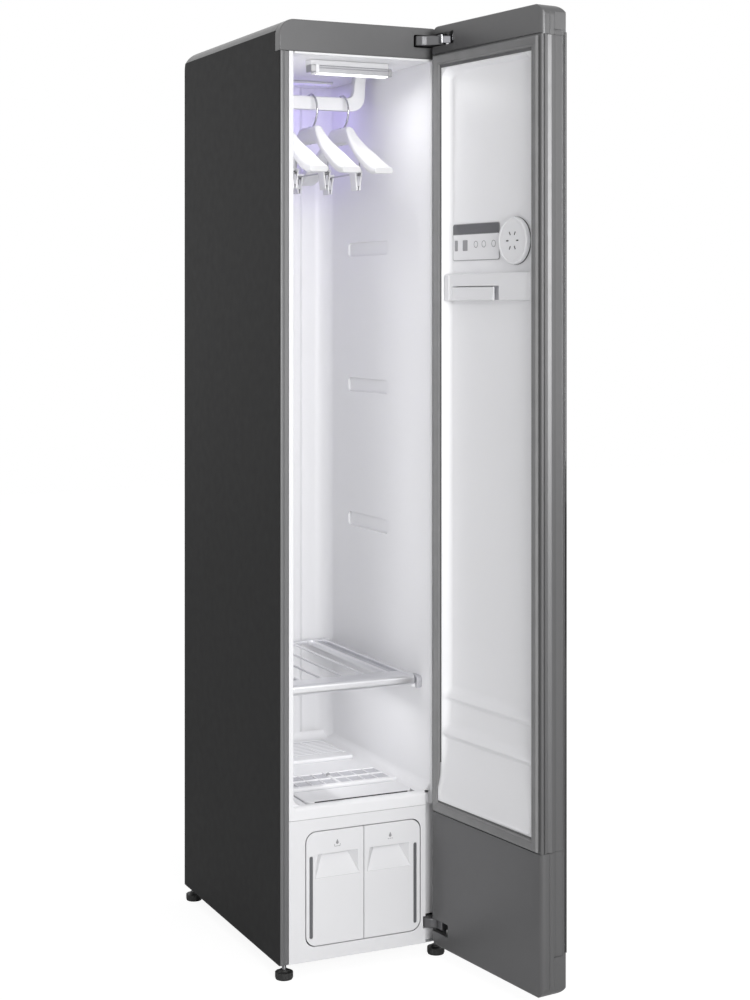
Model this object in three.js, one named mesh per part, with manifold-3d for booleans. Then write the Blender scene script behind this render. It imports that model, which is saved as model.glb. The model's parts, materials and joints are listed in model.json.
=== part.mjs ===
// Clothes care steam cabinet with its door open: a slim steel cabinet, a white lined
// cavity with three hangers on a shaking rail, a steam module with two water tanks in
// its foot, and a glazed door on two cast hinges.
// Millimetres, +X to the right seen from the front, +Y to the back, +Z up.
// The origin is the centre of the base plate's underside; the levelling feet reach below it.

import * as THREE from "three";
import { mergeVertices } from "three/addons/utils/BufferGeometryUtils.js";
import Module from "manifold-3d";

const wasm = await Module();
wasm.setup();

// Driving dimensions
const BODY_WIDTH = 356;
const BODY_DEPTH = 556;
const BODY_HEIGHT = 1822;
const FOOT_HEIGHT = 28;
const HEAD_HEIGHT = 61.5;
const MODULE_HEIGHT = 275.5;
const DOOR_THICKNESS = 58;
const DOOR_GAP = 8;
const DOOR_LIFT = 1;
const DOOR_OPEN_ANGLE = THREE.MathUtils.degToRad(97.4);
const STILE_WIDTH = 19;
const LINER_FLANGE = 10;
const LINER_GAP = 40;
const LINER_DEPTH = BODY_DEPTH - LINER_GAP;
const PIN_INSET = 15;
const PIN_SETBACK = 27;

// Walls and clearances
const SHEET = 1.2;
const LINER_WALL = 6;
const MOULDED_WALL = 2.5;
const FIT = 0.3;
const RUNNING = 1;
const CUT = 5;
const WELD = 1e-4;

// Places that several pieces share
const SIDE = BODY_WIDTH / 2;
const FRONT = -BODY_DEPTH / 2;
const BACK = BODY_DEPTH / 2;
const HEAD_BOTTOM = BODY_HEIGHT - HEAD_HEIGHT;
const CAVITY_SIDE = SIDE - STILE_WIDTH - LINER_FLANGE - 2;
const PIN_X = SIDE - PIN_INSET;
const PIN_Y = FRONT - PIN_SETBACK;
const DOOR_INNER = FRONT - DOOR_GAP;
const DOOR_FRONT = DOOR_INNER - DOOR_THICKNESS;

// Materials
function paint(color, roughness, metalness) {
  return new THREE.MeshStandardMaterial({ color, roughness, metalness });
}

const graphite = paint(0x363636, 0.5, 0.3);
const grey = paint(0x757575, 0.45, 0.4);
const white = paint(0xe8e8ea, 0.35, 0);
const silver = paint(0xc4c6c9, 0.3, 0.9);
const chrome = paint(0xd8d8da, 0.12, 1);
const steel = paint(0x9a9c9e, 0.4, 0.9);
const black = paint(0x1c1c1c, 0.7, 0);
const rubber = paint(0x5c5c5e, 0.8, 0);
const tinted = paint(0x222326, 0.05, 0.2);
const clear = paint(0x66707a, 0.2, 0);
const diffuser = paint(0xf4f4f6, 0.3, 0);
const violet = paint(0x9a86e0, 0.3, 0);

// Solids
function solid(geometry) {
  const bare = geometry.index ? geometry.toNonIndexed() : geometry.clone();
  bare.deleteAttribute("normal");
  bare.deleteAttribute("uv");
  const merged = mergeVertices(bare, WELD);
  return new wasm.Manifold(
    new wasm.Mesh({
      numProp: 3,
      vertProperties: merged.attributes.position.array,
      triVerts: new Uint32Array(merged.index.array),
    }),
  );
}

function geometryOf(manifold) {
  const mesh = manifold.getMesh();
  const geometry = new THREE.BufferGeometry();
  geometry.setAttribute("position", new THREE.BufferAttribute(mesh.vertProperties, mesh.numProp));
  geometry.setIndex(new THREE.BufferAttribute(mesh.triVerts, 1));
  geometry.computeVertexNormals();
  return geometry;
}

function join(...solids) {
  return solids.reduce((whole, piece) => whole.add(piece));
}

function cut(whole, ...tools) {
  return tools.reduce((rest, tool) => rest.subtract(tool), whole);
}

function box(x0, x1, y0, y1, z0, z1) {
  const geometry = new THREE.BoxGeometry(x1 - x0, y1 - y0, z1 - z0);
  geometry.translate((x0 + x1) / 2, (y0 + y1) / 2, (z0 + z1) / 2);
  return solid(geometry);
}

function cylinder(x, y, z0, z1, radius, sides = 24) {
  const geometry = new THREE.CylinderGeometry(radius, radius, z1 - z0, sides);
  geometry.rotateX(Math.PI / 2);
  geometry.translate(x, y, (z0 + z1) / 2);
  return solid(geometry);
}

function cylinderAlongY(x, z, y0, y1, radius, sides = 24) {
  const geometry = new THREE.CylinderGeometry(radius, radius, y1 - y0, sides);
  geometry.translate(x, (y0 + y1) / 2, z);
  return solid(geometry);
}

// The outline is drawn in X and Y and raised from z0 to z1
function raise(shape, z0, z1, curveSegments = 6) {
  const geometry = new THREE.ExtrudeGeometry(shape, {
    depth: z1 - z0,
    bevelEnabled: false,
    curveSegments,
  });
  geometry.translate(0, 0, z0);
  return solid(geometry);
}

// The outline is drawn in X and Z and drawn back from y0 to y1
function drawBack(shape, y0, y1, curveSegments = 6) {
  const geometry = new THREE.ExtrudeGeometry(shape, {
    depth: y1 - y0,
    bevelEnabled: false,
    curveSegments,
  });
  geometry.rotateX(Math.PI / 2);
  geometry.translate(0, y1, 0);
  return solid(geometry);
}

// The outline is drawn in Y and Z and drawn right from x0 to x1
function drawRight(shape, x0, x1, curveSegments = 6) {
  const geometry = new THREE.ExtrudeGeometry(shape, {
    depth: x1 - x0,
    bevelEnabled: false,
    curveSegments,
  });
  geometry.applyMatrix4(
    new THREE.Matrix4().makeBasis(
      new THREE.Vector3(0, 1, 0),
      new THREE.Vector3(0, 0, 1),
      new THREE.Vector3(1, 0, 0),
    ),
  );
  geometry.translate(x0, 0, 0);
  return solid(geometry);
}

function outline(points) {
  return new THREE.Shape(points.map(([a, b]) => new THREE.Vector2(a, b)));
}

// A rectangle with one radius for each corner, from the lower left one anticlockwise
function rounded(a0, a1, b0, b1, radii) {
  const [lowLeft, lowRight, highRight, highLeft] = radii;
  const shape = new THREE.Shape();
  shape.moveTo(a0 + lowLeft, b0);
  shape.lineTo(a1 - lowRight, b0);
  if (lowRight) shape.absarc(a1 - lowRight, b0 + lowRight, lowRight, -Math.PI / 2, 0);
  shape.lineTo(a1, b1 - highRight);
  if (highRight) shape.absarc(a1 - highRight, b1 - highRight, highRight, 0, Math.PI / 2);
  shape.lineTo(a0 + highLeft, b1);
  if (highLeft) shape.absarc(a0 + highLeft, b1 - highLeft, highLeft, Math.PI / 2, Math.PI);
  shape.lineTo(a0, b0 + lowLeft);
  if (lowLeft) shape.absarc(a0 + lowLeft, b0 + lowLeft, lowLeft, Math.PI, 1.5 * Math.PI);
  return shape;
}

function evenly(radius) {
  return [radius, radius, radius, radius];
}

// A round bar along a smooth path
function rod(points, radius, steps, sides = 8) {
  const section = new THREE.Shape();
  for (let i = 0; i < sides; i += 1) {
    const turn = (2 * Math.PI * i) / sides;
    const place = [radius * Math.cos(turn), radius * Math.sin(turn)];
    if (i) section.lineTo(...place);
    else section.moveTo(...place);
  }
  const path = new THREE.CatmullRomCurve3(points.map((p) => new THREE.Vector3(...p)));
  const geometry = new THREE.ExtrudeGeometry(section, { steps, extrudePath: path });
  const made = solid(geometry);
  return made.volume() < 0 ? solid(geometry.scale(-1, 1, 1)) : made;
}

// A closed skin through rings of as many points each, in order along the piece
function skin(rings) {
  const sides = rings[0].length;
  const corners = rings.flat().flat();
  const index = [];
  for (let r = 0; r + 1 < rings.length; r += 1) {
    for (let i = 0; i < sides; i += 1) {
      const a = r * sides + i;
      const b = r * sides + ((i + 1) % sides);
      index.push(a, b, b + sides, a, b + sides, a + sides);
    }
  }
  const last = (rings.length - 1) * sides;
  for (let i = 1; i + 1 < sides; i += 1) {
    index.push(0, i + 1, i);
    index.push(last, last + i, last + i + 1);
  }
  const geometry = new THREE.BufferGeometry();
  geometry.setAttribute("position", new THREE.Float32BufferAttribute(corners, 3));
  geometry.setIndex(index);
  return solid(geometry);
}

const cabinet = new THREE.Group();

function place(name, manifold, material, group = cabinet) {
  const mesh = new THREE.Mesh(geometryOf(manifold), material);
  mesh.name = name;
  group.add(mesh);
  return mesh;
}

// Outer casing
const TOP_RADIUS = 30;
const TOP_REAR_RADIUS = 40;
const TOP_SKIRT = 21;
const HEAD_RETURN = 24;
const STILE_DEPTH = 22;
const STILE_BEAD = 8.5;
const STILE_BEVEL = 2;
const STILE_STEP = 1.5;
const BASE_THICKNESS = 2;
const VENT_COUNT = 8;
const VENT_WIDTH = 180;
const VENT_HEIGHT = 6;
const VENT_PITCH = 16;
const VENT_BOTTOM = 70;
const INLET_INSET = 68;
const INLET_X = -SIDE + INLET_INSET;
const INLET_Z = 40;
const INLET_RADIUS = 11;
const INLET_FLANGE = 16;
const INLET_REACH = 14;

function sidePanel(sign) {
  const skirt = BODY_HEIGHT - TOP_SKIRT - FIT;
  const reach = Math.sqrt(TOP_REAR_RADIUS ** 2 - (TOP_REAR_RADIUS - TOP_SKIRT - FIT) ** 2);
  const profile = new THREE.Shape();
  const head = HEAD_BOTTOM - FIT;
  profile.moveTo(FRONT + STILE_BEVEL, 0);
  profile.lineTo(BACK, 0);
  profile.lineTo(BACK, BODY_HEIGHT - TOP_REAR_RADIUS);
  profile.absarc(
    BACK - TOP_REAR_RADIUS,
    BODY_HEIGHT - TOP_REAR_RADIUS,
    TOP_REAR_RADIUS,
    0,
    Math.atan2(TOP_REAR_RADIUS - TOP_SKIRT - FIT, reach),
  );
  profile.lineTo(FRONT + HEAD_RETURN + FIT, skirt);
  profile.lineTo(FRONT + HEAD_RETURN + FIT, head);
  profile.lineTo(FRONT + STILE_BEVEL, head);
  const inner = sign * (SIDE - SHEET);
  return drawRight(profile, Math.min(sign * SIDE, inner), Math.max(sign * SIDE, inner));
}

function stile(sign) {
  const outer = SIDE - SHEET - FIT;
  const inner = SIDE - STILE_WIDTH;
  const step = SIDE - STILE_BEAD;
  const points = [
    [outer, FRONT + STILE_BEVEL],
    [outer - STILE_BEVEL, FRONT],
    [step, FRONT],
    [step - STILE_STEP, FRONT + STILE_STEP],
    [inner, FRONT + STILE_STEP],
    [inner, FRONT + STILE_DEPTH],
    [outer, FRONT + STILE_DEPTH],
  ];
  const post = raise(outline(points.map(([x, y]) => [sign * x, y])), 0, HEAD_BOTTOM - FIT);
  const bore = cylinder(
    sign * (SIDE - FOOT_INSET_X),
    FRONT + FOOT_INSET_FRONT,
    -CUT,
    FOOT_STUD_REACH + RUNNING,
    FOOT_STUD + FIT,
  );
  return cut(post, bore);
}

// The crown is rounded at both sides and at the back, and its rear lip reaches down
// between the side panels to the back panel
function crown(inset, drop) {
  const across = drawBack(
    rounded(
      -SIDE + inset,
      SIDE - inset,
      HEAD_BOTTOM - drop,
      BODY_HEIGHT - inset,
      [0, 0, TOP_RADIUS - inset, TOP_RADIUS - inset],
    ),
    FRONT + HEAD_RETURN + FIT - drop,
    BACK - inset,
  );
  const along = drawRight(
    rounded(
      FRONT - CUT,
      BACK - inset,
      HEAD_BOTTOM - drop,
      BODY_HEIGHT - inset,
      [0, 0, TOP_REAR_RADIUS - inset, 0],
    ),
    -SIDE - CUT,
    SIDE + CUT,
  );
  return across.intersect(along);
}

function topCover() {
  const skirt = box(
    -SIDE - CUT,
    SIDE + CUT,
    FRONT,
    BACK + CUT,
    BODY_HEIGHT - TOP_SKIRT,
    BODY_HEIGHT + CUT,
  );
  const lip = box(
    -SIDE + SHEET + FIT,
    SIDE - SHEET - FIT,
    BACK - TOP_REAR_RADIUS,
    BACK + CUT,
    BODY_HEIGHT - TOP_REAR_RADIUS,
    BODY_HEIGHT,
  );
  return cut(crown(0, 0), crown(MOULDED_WALL, CUT)).intersect(join(skirt, lip));
}

function headFascia() {
  const radii = [0, 0, TOP_RADIUS, TOP_RADIUS];
  const outer = drawBack(
    rounded(-SIDE, SIDE, HEAD_BOTTOM, BODY_HEIGHT, radii),
    FRONT,
    FRONT + HEAD_RETURN,
  );
  const wall = MOULDED_WALL;
  const inner = drawBack(
    rounded(
      -SIDE + wall,
      SIDE - wall,
      HEAD_BOTTOM + wall,
      BODY_HEIGHT - wall,
      [0, 0, TOP_RADIUS - wall, TOP_RADIUS - wall],
    ),
    FRONT + wall,
    FRONT + HEAD_RETURN + CUT,
  );
  const pocket = box(
    HINGE_UPPER_LEFT - HINGE_POCKET,
    HINGE_RIGHT + HINGE_POCKET,
    FRONT - CUT,
    FRONT + HEAD_RETURN + CUT,
    HINGE_UPPER_Z - HINGE_POCKET,
    HINGE_UPPER_Z + HINGE_HEIGHT + HINGE_POCKET,
  );
  return cut(outer, inner, pocket);
}

function backPanel() {
  const plate = box(
    -SIDE + SHEET + FIT,
    SIDE - SHEET - FIT,
    BACK - SHEET,
    BACK,
    0,
    BODY_HEIGHT - TOP_REAR_RADIUS - FIT,
  );
  const vents = [];
  for (let i = 0; i < VENT_COUNT; i += 1) {
    const z = VENT_BOTTOM + i * VENT_PITCH;
    vents.push(box(0, VENT_WIDTH / 2, BACK - CUT, BACK + CUT, z, z + VENT_HEIGHT));
  }
  const gland = cylinderAlongY(INLET_X, INLET_Z, BACK - CUT, BACK + CUT, INLET_RADIUS + FIT);
  return cut(plate, ...vents, gland);
}

function basePlate() {
  const plate = box(
    -SIDE + SHEET + FIT,
    SIDE - SHEET - FIT,
    FRONT + STILE_DEPTH + FIT,
    BACK - SHEET - FIT,
    0,
    BASE_THICKNESS,
  );
  const front = box(
    -SIDE + STILE_WIDTH + FIT,
    SIDE - STILE_WIDTH - FIT,
    FRONT + MOULDED_WALL + FIT,
    FRONT + STILE_DEPTH + FIT + CUT,
    0,
    BASE_THICKNESS,
  );
  const holes = footPlaces().map(([, x, y]) =>
    cylinder(x, y, -CUT, BASE_THICKNESS + CUT, FOOT_STUD + FIT),
  );
  return cut(join(plate, front), ...holes);
}

function powerInlet() {
  const flange = cylinderAlongY(
    INLET_X,
    INLET_Z,
    BACK + FIT,
    BACK + FIT + SHEET,
    INLET_FLANGE,
  );
  const barrel = cylinderAlongY(
    INLET_X,
    INLET_Z,
    BACK - INLET_REACH,
    BACK + INLET_REACH / 2,
    INLET_RADIUS,
  );
  const bore = cylinderAlongY(
    INLET_X,
    INLET_Z,
    BACK - INLET_REACH - CUT,
    BACK + INLET_REACH,
    INLET_RADIUS / 2,
  );
  return cut(join(flange, barrel), bore);
}

// Levelling feet
const FOOT_INSET_X = 14;
const FOOT_INSET_FRONT = 12;
const FOOT_INSET_BACK = 24;
const FOOT_RADIUS = 17.5;
const FOOT_SKIRT = 14;
const FOOT_COLLAR_RADIUS = 9;
const FOOT_COLLAR = 7;
const FOOT_STUD = 3.5;
const FOOT_STUD_REACH = 18;
const FOOT_SIDES = 12;

function footPlaces() {
  const x = SIDE - FOOT_INSET_X;
  const rows = [
    ["front", FRONT + FOOT_INSET_FRONT],
    ["rear", BACK - FOOT_INSET_BACK],
  ];
  return rows.flatMap(([row, y]) => [
    [`foot_${row}_left`, -x, y],
    [`foot_${row}_right`, x, y],
  ]);
}

function foot() {
  const knob = cylinder(0, 0, -FOOT_HEIGHT, -FOOT_HEIGHT + FOOT_SKIRT, FOOT_RADIUS, FOOT_SIDES);
  const collarTop = -FOOT_HEIGHT + FOOT_SKIRT + FOOT_COLLAR;
  const collar = cylinder(0, 0, -FOOT_HEIGHT + CUT, collarTop, FOOT_COLLAR_RADIUS, FOOT_SIDES);
  const stud = cylinder(0, 0, -FOOT_HEIGHT + CUT, FOOT_STUD_REACH, FOOT_STUD, FOOT_SIDES);
  return join(knob, collar, stud);
}

// Hinges: a cast arm on the cabinet with its pin pressed in, above and below the door
const HINGE_HEIGHT = 19;
const HINGE_DROP = 36.5;
const HINGE_UPPER_Z = BODY_HEIGHT - HINGE_DROP;
const HINGE_LOWER_Z = 32;
const HINGE_UPPER_ARM = 51;
const HINGE_LOWER_ARM = 32;
const HINGE_INSET = 7;
const HINGE_UPPER_LEFT = PIN_X - HINGE_UPPER_ARM;
const HINGE_LOWER_LEFT = PIN_X - HINGE_LOWER_ARM;
const HINGE_RIGHT = PIN_X - HINGE_INSET;
const HINGE_REACH = 60;
const HINGE_KNUCKLE = 10;
const HINGE_POCKET = 2.5;
const PIN_RADIUS = 4;
const PIN_REACH = 9;
const HINGE_SLOPE = 5;

function hinge(left, z) {
  const arm = new THREE.Shape();
  arm.moveTo(left, FRONT + HINGE_REACH);
  arm.lineTo(left, FRONT - HINGE_SLOPE);
  arm.lineTo(PIN_X - HINGE_KNUCKLE * Math.SQRT1_2, PIN_Y - HINGE_KNUCKLE * Math.SQRT1_2);
  arm.absarc(PIN_X, PIN_Y, HINGE_KNUCKLE, -0.75 * Math.PI, 0.1 * Math.PI);
  arm.lineTo(HINGE_RIGHT, FRONT);
  arm.lineTo(HINGE_RIGHT, FRONT + HINGE_REACH);
  const pin = cylinder(PIN_X, PIN_Y, z - PIN_REACH, z + HINGE_HEIGHT + PIN_REACH, PIN_RADIUS);
  return join(raise(arm, z, z + HINGE_HEIGHT, 12), pin);
}

// Cavity lining
const SILL_RISE = 26.5;
const CEILING_DROP = 4.5;
const CAVITY_FLOOR = MODULE_HEIGHT + SILL_RISE;
const CAVITY_TOP = HEAD_BOTTOM - CEILING_DROP;
const CAVITY_BACK = FRONT + LINER_DEPTH;
const LINER_BEVEL = 6;
const RECESS_FRONT = 200;
const RECESS_LENGTH = 202;
const RECESS_HEIGHT = 29;
const RECESS_DEPTH = 3;
const RECESS_RISE = 489;
const RECESS_LOW = CAVITY_FLOOR + RECESS_RISE;
const RECESS_PITCH = 293;
const RECESS_COUNT = 3;
const RECESS_RADIUS = 8;
const LEDGE_RISE = 198;
const LEDGE_Z = CAVITY_FLOOR + LEDGE_RISE;
const LEDGE_HEIGHT = 8;
const LEDGE_REACH = 16;
const DUCT_INSET = 50;
const DUCT_HALF = CAVITY_SIDE - DUCT_INSET;
const DUCT_DEPTH = 8;

function linerSide(sign) {
  const edge = SIDE - STILE_WIDTH - FIT;
  const throat = SIDE - STILE_WIDTH - LINER_FLANGE;
  const points = [
    [edge, FRONT],
    [throat, FRONT],
    [CAVITY_SIDE, FRONT + LINER_BEVEL],
    [CAVITY_SIDE, CAVITY_BACK - FIT],
    [CAVITY_SIDE + LINER_WALL, CAVITY_BACK - FIT],
    [CAVITY_SIDE + LINER_WALL, FRONT + LINER_BEVEL],
    [edge, FRONT + MOULDED_WALL],
  ];
  const wall = raise(
    outline(points.map(([x, y]) => [sign * x, y])),
    MODULE_HEIGHT + FIT,
    HEAD_BOTTOM - FIT,
  );
  const ledge = box(
    Math.min(sign * (CAVITY_SIDE - LEDGE_REACH), sign * (CAVITY_SIDE + RECESS_DEPTH)),
    Math.max(sign * (CAVITY_SIDE - LEDGE_REACH), sign * (CAVITY_SIDE + RECESS_DEPTH)),
    SHELF_FRONT + SHELF_NOSE_DEPTH + RUNNING,
    CAVITY_BACK - FIT,
    LEDGE_Z,
    LEDGE_Z + LEDGE_HEIGHT,
  );
  const recesses = [];
  for (let i = 0; i < RECESS_COUNT; i += 1) {
    const z = RECESS_LOW + i * RECESS_PITCH;
    const y = FRONT + RECESS_FRONT;
    const shape = rounded(y, y + RECESS_LENGTH, z, z + RECESS_HEIGHT, evenly(RECESS_RADIUS));
    const near = sign * (CAVITY_SIDE - CUT);
    const far = sign * (CAVITY_SIDE + RECESS_DEPTH);
    recesses.push(drawRight(shape, Math.min(near, far), Math.max(near, far)));
  }
  return cut(join(wall, ledge), ...recesses);
}

function linerBack() {
  const side = CAVITY_SIDE + LINER_WALL;
  const plate = box(
    -side,
    side,
    CAVITY_BACK,
    CAVITY_BACK + LINER_WALL,
    CAVITY_FLOOR - LINER_WALL,
    CAVITY_TOP + LINER_WALL,
  );
  const duct = raise(
    outline([
      [-DUCT_HALF, CAVITY_BACK + FIT],
      [-DUCT_HALF + DUCT_DEPTH, CAVITY_BACK - DUCT_DEPTH],
      [DUCT_HALF - DUCT_DEPTH, CAVITY_BACK - DUCT_DEPTH],
      [DUCT_HALF, CAVITY_BACK + FIT],
    ]),
    CAVITY_FLOOR + FIT,
    CAVITY_TOP - FIT,
  );
  return join(plate, duct);
}

// The ceiling has a slot for each arm of the hanger rail
function linerCeiling() {
  const plate = box(
    -CAVITY_SIDE + FIT,
    CAVITY_SIDE - FIT,
    FRONT,
    CAVITY_BACK - FIT,
    CAVITY_TOP,
    HEAD_BOTTOM - FIT,
  );
  const slots = [-1, 1].map((sign) => {
    const near = sign * (RAIL_HALF - RAIL_ARM - SHAKE - RUNNING);
    const far = sign * (RAIL_HALF + SHAKE + RUNNING);
    return box(
      Math.min(near, far),
      Math.max(near, far),
      RAIL_Y - RAIL_DEPTH / 2 - RUNNING,
      RAIL_Y + RAIL_DEPTH / 2 + RUNNING,
      CAVITY_TOP - CUT,
      HEAD_BOTTOM + CUT,
    );
  });
  return cut(plate, ...slots);
}

function linerFloor() {
  const deck = box(
    -CAVITY_SIDE + FIT,
    CAVITY_SIDE - FIT,
    FRONT + SILL_BEVEL,
    CAVITY_BACK - FIT,
    CAVITY_FLOOR - LINER_WALL,
    CAVITY_FLOOR,
  );
  const sill = drawRight(
    outline([
      [FRONT, MODULE_HEIGHT + FIT],
      [FRONT + MOULDED_WALL, MODULE_HEIGHT + FIT],
      [FRONT + SILL_BEVEL + MOULDED_WALL, CAVITY_FLOOR - LINER_WALL],
      [FRONT + SILL_BEVEL + MOULDED_WALL, CAVITY_FLOOR],
      [FRONT + SILL_BEVEL, CAVITY_FLOOR],
      [FRONT, CAVITY_FLOOR - SILL_BEVEL],
    ]),
    -CAVITY_SIDE + FIT,
    CAVITY_SIDE - FIT,
  );
  const low = CAVITY_FLOOR - LINER_WALL - CUT;
  const high = CAVITY_FLOOR + CUT;
  const windows = [
    box(
      -FILTER_HALF - RUNNING,
      FILTER_HALF + RUNNING,
      FILTER_FRONT - RUNNING,
      FILTER_FRONT + FILTER_LENGTH + RUNNING,
      low,
      high,
    ),
    box(
      -STEAM_HALF + GRILLE_LIP,
      STEAM_HALF - GRILLE_LIP,
      STEAM_FRONT + GRILLE_LIP,
      STEAM_FRONT + STEAM_LENGTH - GRILLE_LIP,
      low,
      high,
    ),
    box(
      -AIR_HALF + GRILLE_LIP,
      AIR_HALF - GRILLE_LIP,
      AIR_FRONT + GRILLE_LIP,
      AIR_FRONT + AIR_LENGTH - GRILLE_LIP,
      low,
      high,
    ),
  ];
  return cut(join(deck, sill), ...windows);
}

// Floor grilles and lint filter
const SILL_BEVEL = 8;
const GRILLE_LIP = 5;
const GRILLE_THICKNESS = 5;
const STEAM_INSET = 29;
const STEAM_SETBACK = 98;
const STEAM_HALF = CAVITY_SIDE - STEAM_INSET;
const STEAM_FRONT = FRONT + STEAM_SETBACK;
const STEAM_LENGTH = 106;
const STEAM_COLUMNS = 7;
const STEAM_ROWS = 2;
const STEAM_BAR = 4;
const AIR_INSET = 35;
const AIR_REAR = 54;
const AIR_HALF = CAVITY_SIDE - AIR_INSET;
const AIR_LENGTH = 162;
const AIR_FRONT = CAVITY_BACK - AIR_REAR - AIR_LENGTH;
const AIR_LEAD = 44;
const AIR_SLOTS = 16;
const AIR_RISE = 8;
const FILTER_INSET = 31;
const FILTER_SETBACK = 15;
const FILTER_HALF = CAVITY_SIDE - FILTER_INSET;
const FILTER_FRONT = FRONT + FILTER_SETBACK;
const FILTER_LENGTH = 78;
const FILTER_PLATE = 4;
const FILTER_DROP = 42;
const FILTER_WALL = 3;
const FILTER_SLOTS = 9;
const FILTER_RADIUS = 14;

function cells(x0, x1, y0, y1, columns, rows, bar, z0, z1) {
  const tools = [];
  const width = (x1 - x0 - bar * (columns + 1)) / columns;
  const depth = (y1 - y0 - bar * (rows + 1)) / rows;
  for (let c = 0; c < columns; c += 1) {
    for (let r = 0; r < rows; r += 1) {
      const x = x0 + bar + c * (width + bar);
      const y = y0 + bar + r * (depth + bar);
      tools.push(box(x, x + width, y, y + depth, z0, z1));
    }
  }
  return tools;
}

function steamGrille() {
  const z0 = CAVITY_FLOOR + FIT;
  const z1 = z0 + GRILLE_THICKNESS;
  const y1 = STEAM_FRONT + STEAM_LENGTH;
  const plate = box(-STEAM_HALF, STEAM_HALF, STEAM_FRONT, y1, z0, z1);
  const holes = cells(
    -STEAM_HALF + GRILLE_LIP,
    STEAM_HALF - GRILLE_LIP,
    STEAM_FRONT + GRILLE_LIP,
    y1 - GRILLE_LIP,
    STEAM_COLUMNS,
    STEAM_ROWS,
    STEAM_BAR,
    z0 - CUT,
    z1 + CUT,
  );
  return cut(plate, ...holes);
}

function airGrille() {
  const z0 = CAVITY_FLOOR + FIT;
  const y1 = AIR_FRONT + AIR_LENGTH;
  const plate = drawRight(
    outline([
      [AIR_FRONT, z0],
      [y1, z0],
      [y1, z0 + AIR_RISE],
      [AIR_FRONT + AIR_LEAD / 2, z0 + AIR_RISE],
      [AIR_FRONT, z0 + AIR_RISE / 2],
    ]),
    -AIR_HALF,
    AIR_HALF,
  );
  const holes = cells(
    -AIR_HALF + GRILLE_LIP,
    AIR_HALF - GRILLE_LIP,
    AIR_FRONT + AIR_LEAD,
    y1 - GRILLE_LIP,
    1,
    AIR_SLOTS,
    STEAM_BAR / 2,
    z0 - CUT,
    z0 + AIR_RISE + CUT,
  );
  return cut(plate, ...holes);
}

// The filter lifts straight up out of the sill by its top plate
function lintFilter() {
  const y1 = FILTER_FRONT + FILTER_LENGTH;
  const top = CAVITY_FLOOR;
  const plate = raise(
    rounded(
      -FILTER_HALF,
      FILTER_HALF,
      FILTER_FRONT,
      y1,
      [FILTER_RADIUS, FILTER_RADIUS, 0, 0],
    ),
    top - FILTER_PLATE,
    top,
  );
  const inset = FILTER_RADIUS;
  const frame = box(
    -FILTER_HALF + inset,
    FILTER_HALF - inset,
    y1 - FILTER_WALL * 2,
    y1 - FILTER_WALL,
    top - FILTER_DROP,
    top - FILTER_PLATE / 2,
  );
  const slots = [];
  const pitch = (2 * (FILTER_HALF - inset)) / FILTER_SLOTS;
  for (let i = 0; i < FILTER_SLOTS; i += 1) {
    const x = -FILTER_HALF + inset + i * pitch;
    slots.push(
      box(
        x + FILTER_WALL,
        x + pitch - FILTER_WALL,
        y1 - FILTER_WALL * 3,
        y1,
        top - FILTER_DROP + FILTER_WALL,
        top - FILTER_PLATE - FILTER_WALL,
      ),
    );
  }
  return cut(join(plate, frame), ...slots);
}

// Lamps
const LAMP_INSET = 59;
const LAMP_SETBACK = 70;
const LAMP_HALF = CAVITY_SIDE - LAMP_INSET;
const LAMP_Y = FRONT + LAMP_SETBACK;
const LAMP_DEPTH = 26;
const LAMP_HEIGHT = 28;
const LAMP_SLOPE = 8;
const UV_INSET = 42;
const UV_REAR = 116;
const UV_HALF = CAVITY_SIDE - UV_INSET;
const UV_Y = CAVITY_BACK - UV_REAR;
const UV_DEPTH = 22;
const UV_HEIGHT = 8;

function ceilingLamp() {
  const y0 = LAMP_Y - LAMP_DEPTH / 2;
  const y1 = LAMP_Y + LAMP_DEPTH / 2;
  const top = CAVITY_TOP - FIT;
  return drawRight(
    outline([
      [y0 + LAMP_SLOPE, top],
      [y0, top - LAMP_HEIGHT / 2],
      [y0, top - LAMP_HEIGHT],
      [y1, top - LAMP_HEIGHT],
      [y1, top],
    ]),
    -LAMP_HALF,
    LAMP_HALF,
  );
}

function uvStrip() {
  return box(
    -UV_HALF,
    UV_HALF,
    UV_Y - UV_DEPTH / 2,
    UV_Y + UV_DEPTH / 2,
    CAVITY_TOP - FIT - UV_HEIGHT,
    CAVITY_TOP - FIT,
  );
}

// Hanger rail: a bail whose arms pass through the ceiling and end in a driven yoke
const RAIL_SHIFT = 15;
const RAIL_INSET = 20;
const RAIL_Y = FRONT + LINER_DEPTH / 2 + RAIL_SHIFT;
const RAIL_HALF = CAVITY_SIDE - RAIL_INSET;
const RAIL_ARM = 24;
const RAIL_DEPTH = 20;
const RAIL_DROP = 76;
const RAIL_BOTTOM = CAVITY_TOP - RAIL_DROP;
const RAIL_HEIGHT = 28;
const RAIL_RADIUS = 22;
const SHAKE = 12;
const YOKE_THICKNESS = 4;
const YOKE_CLEAR = 4;
const YOKE_Z = HEAD_BOTTOM + YOKE_CLEAR;
const YOKE_HALF = 14;

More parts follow.
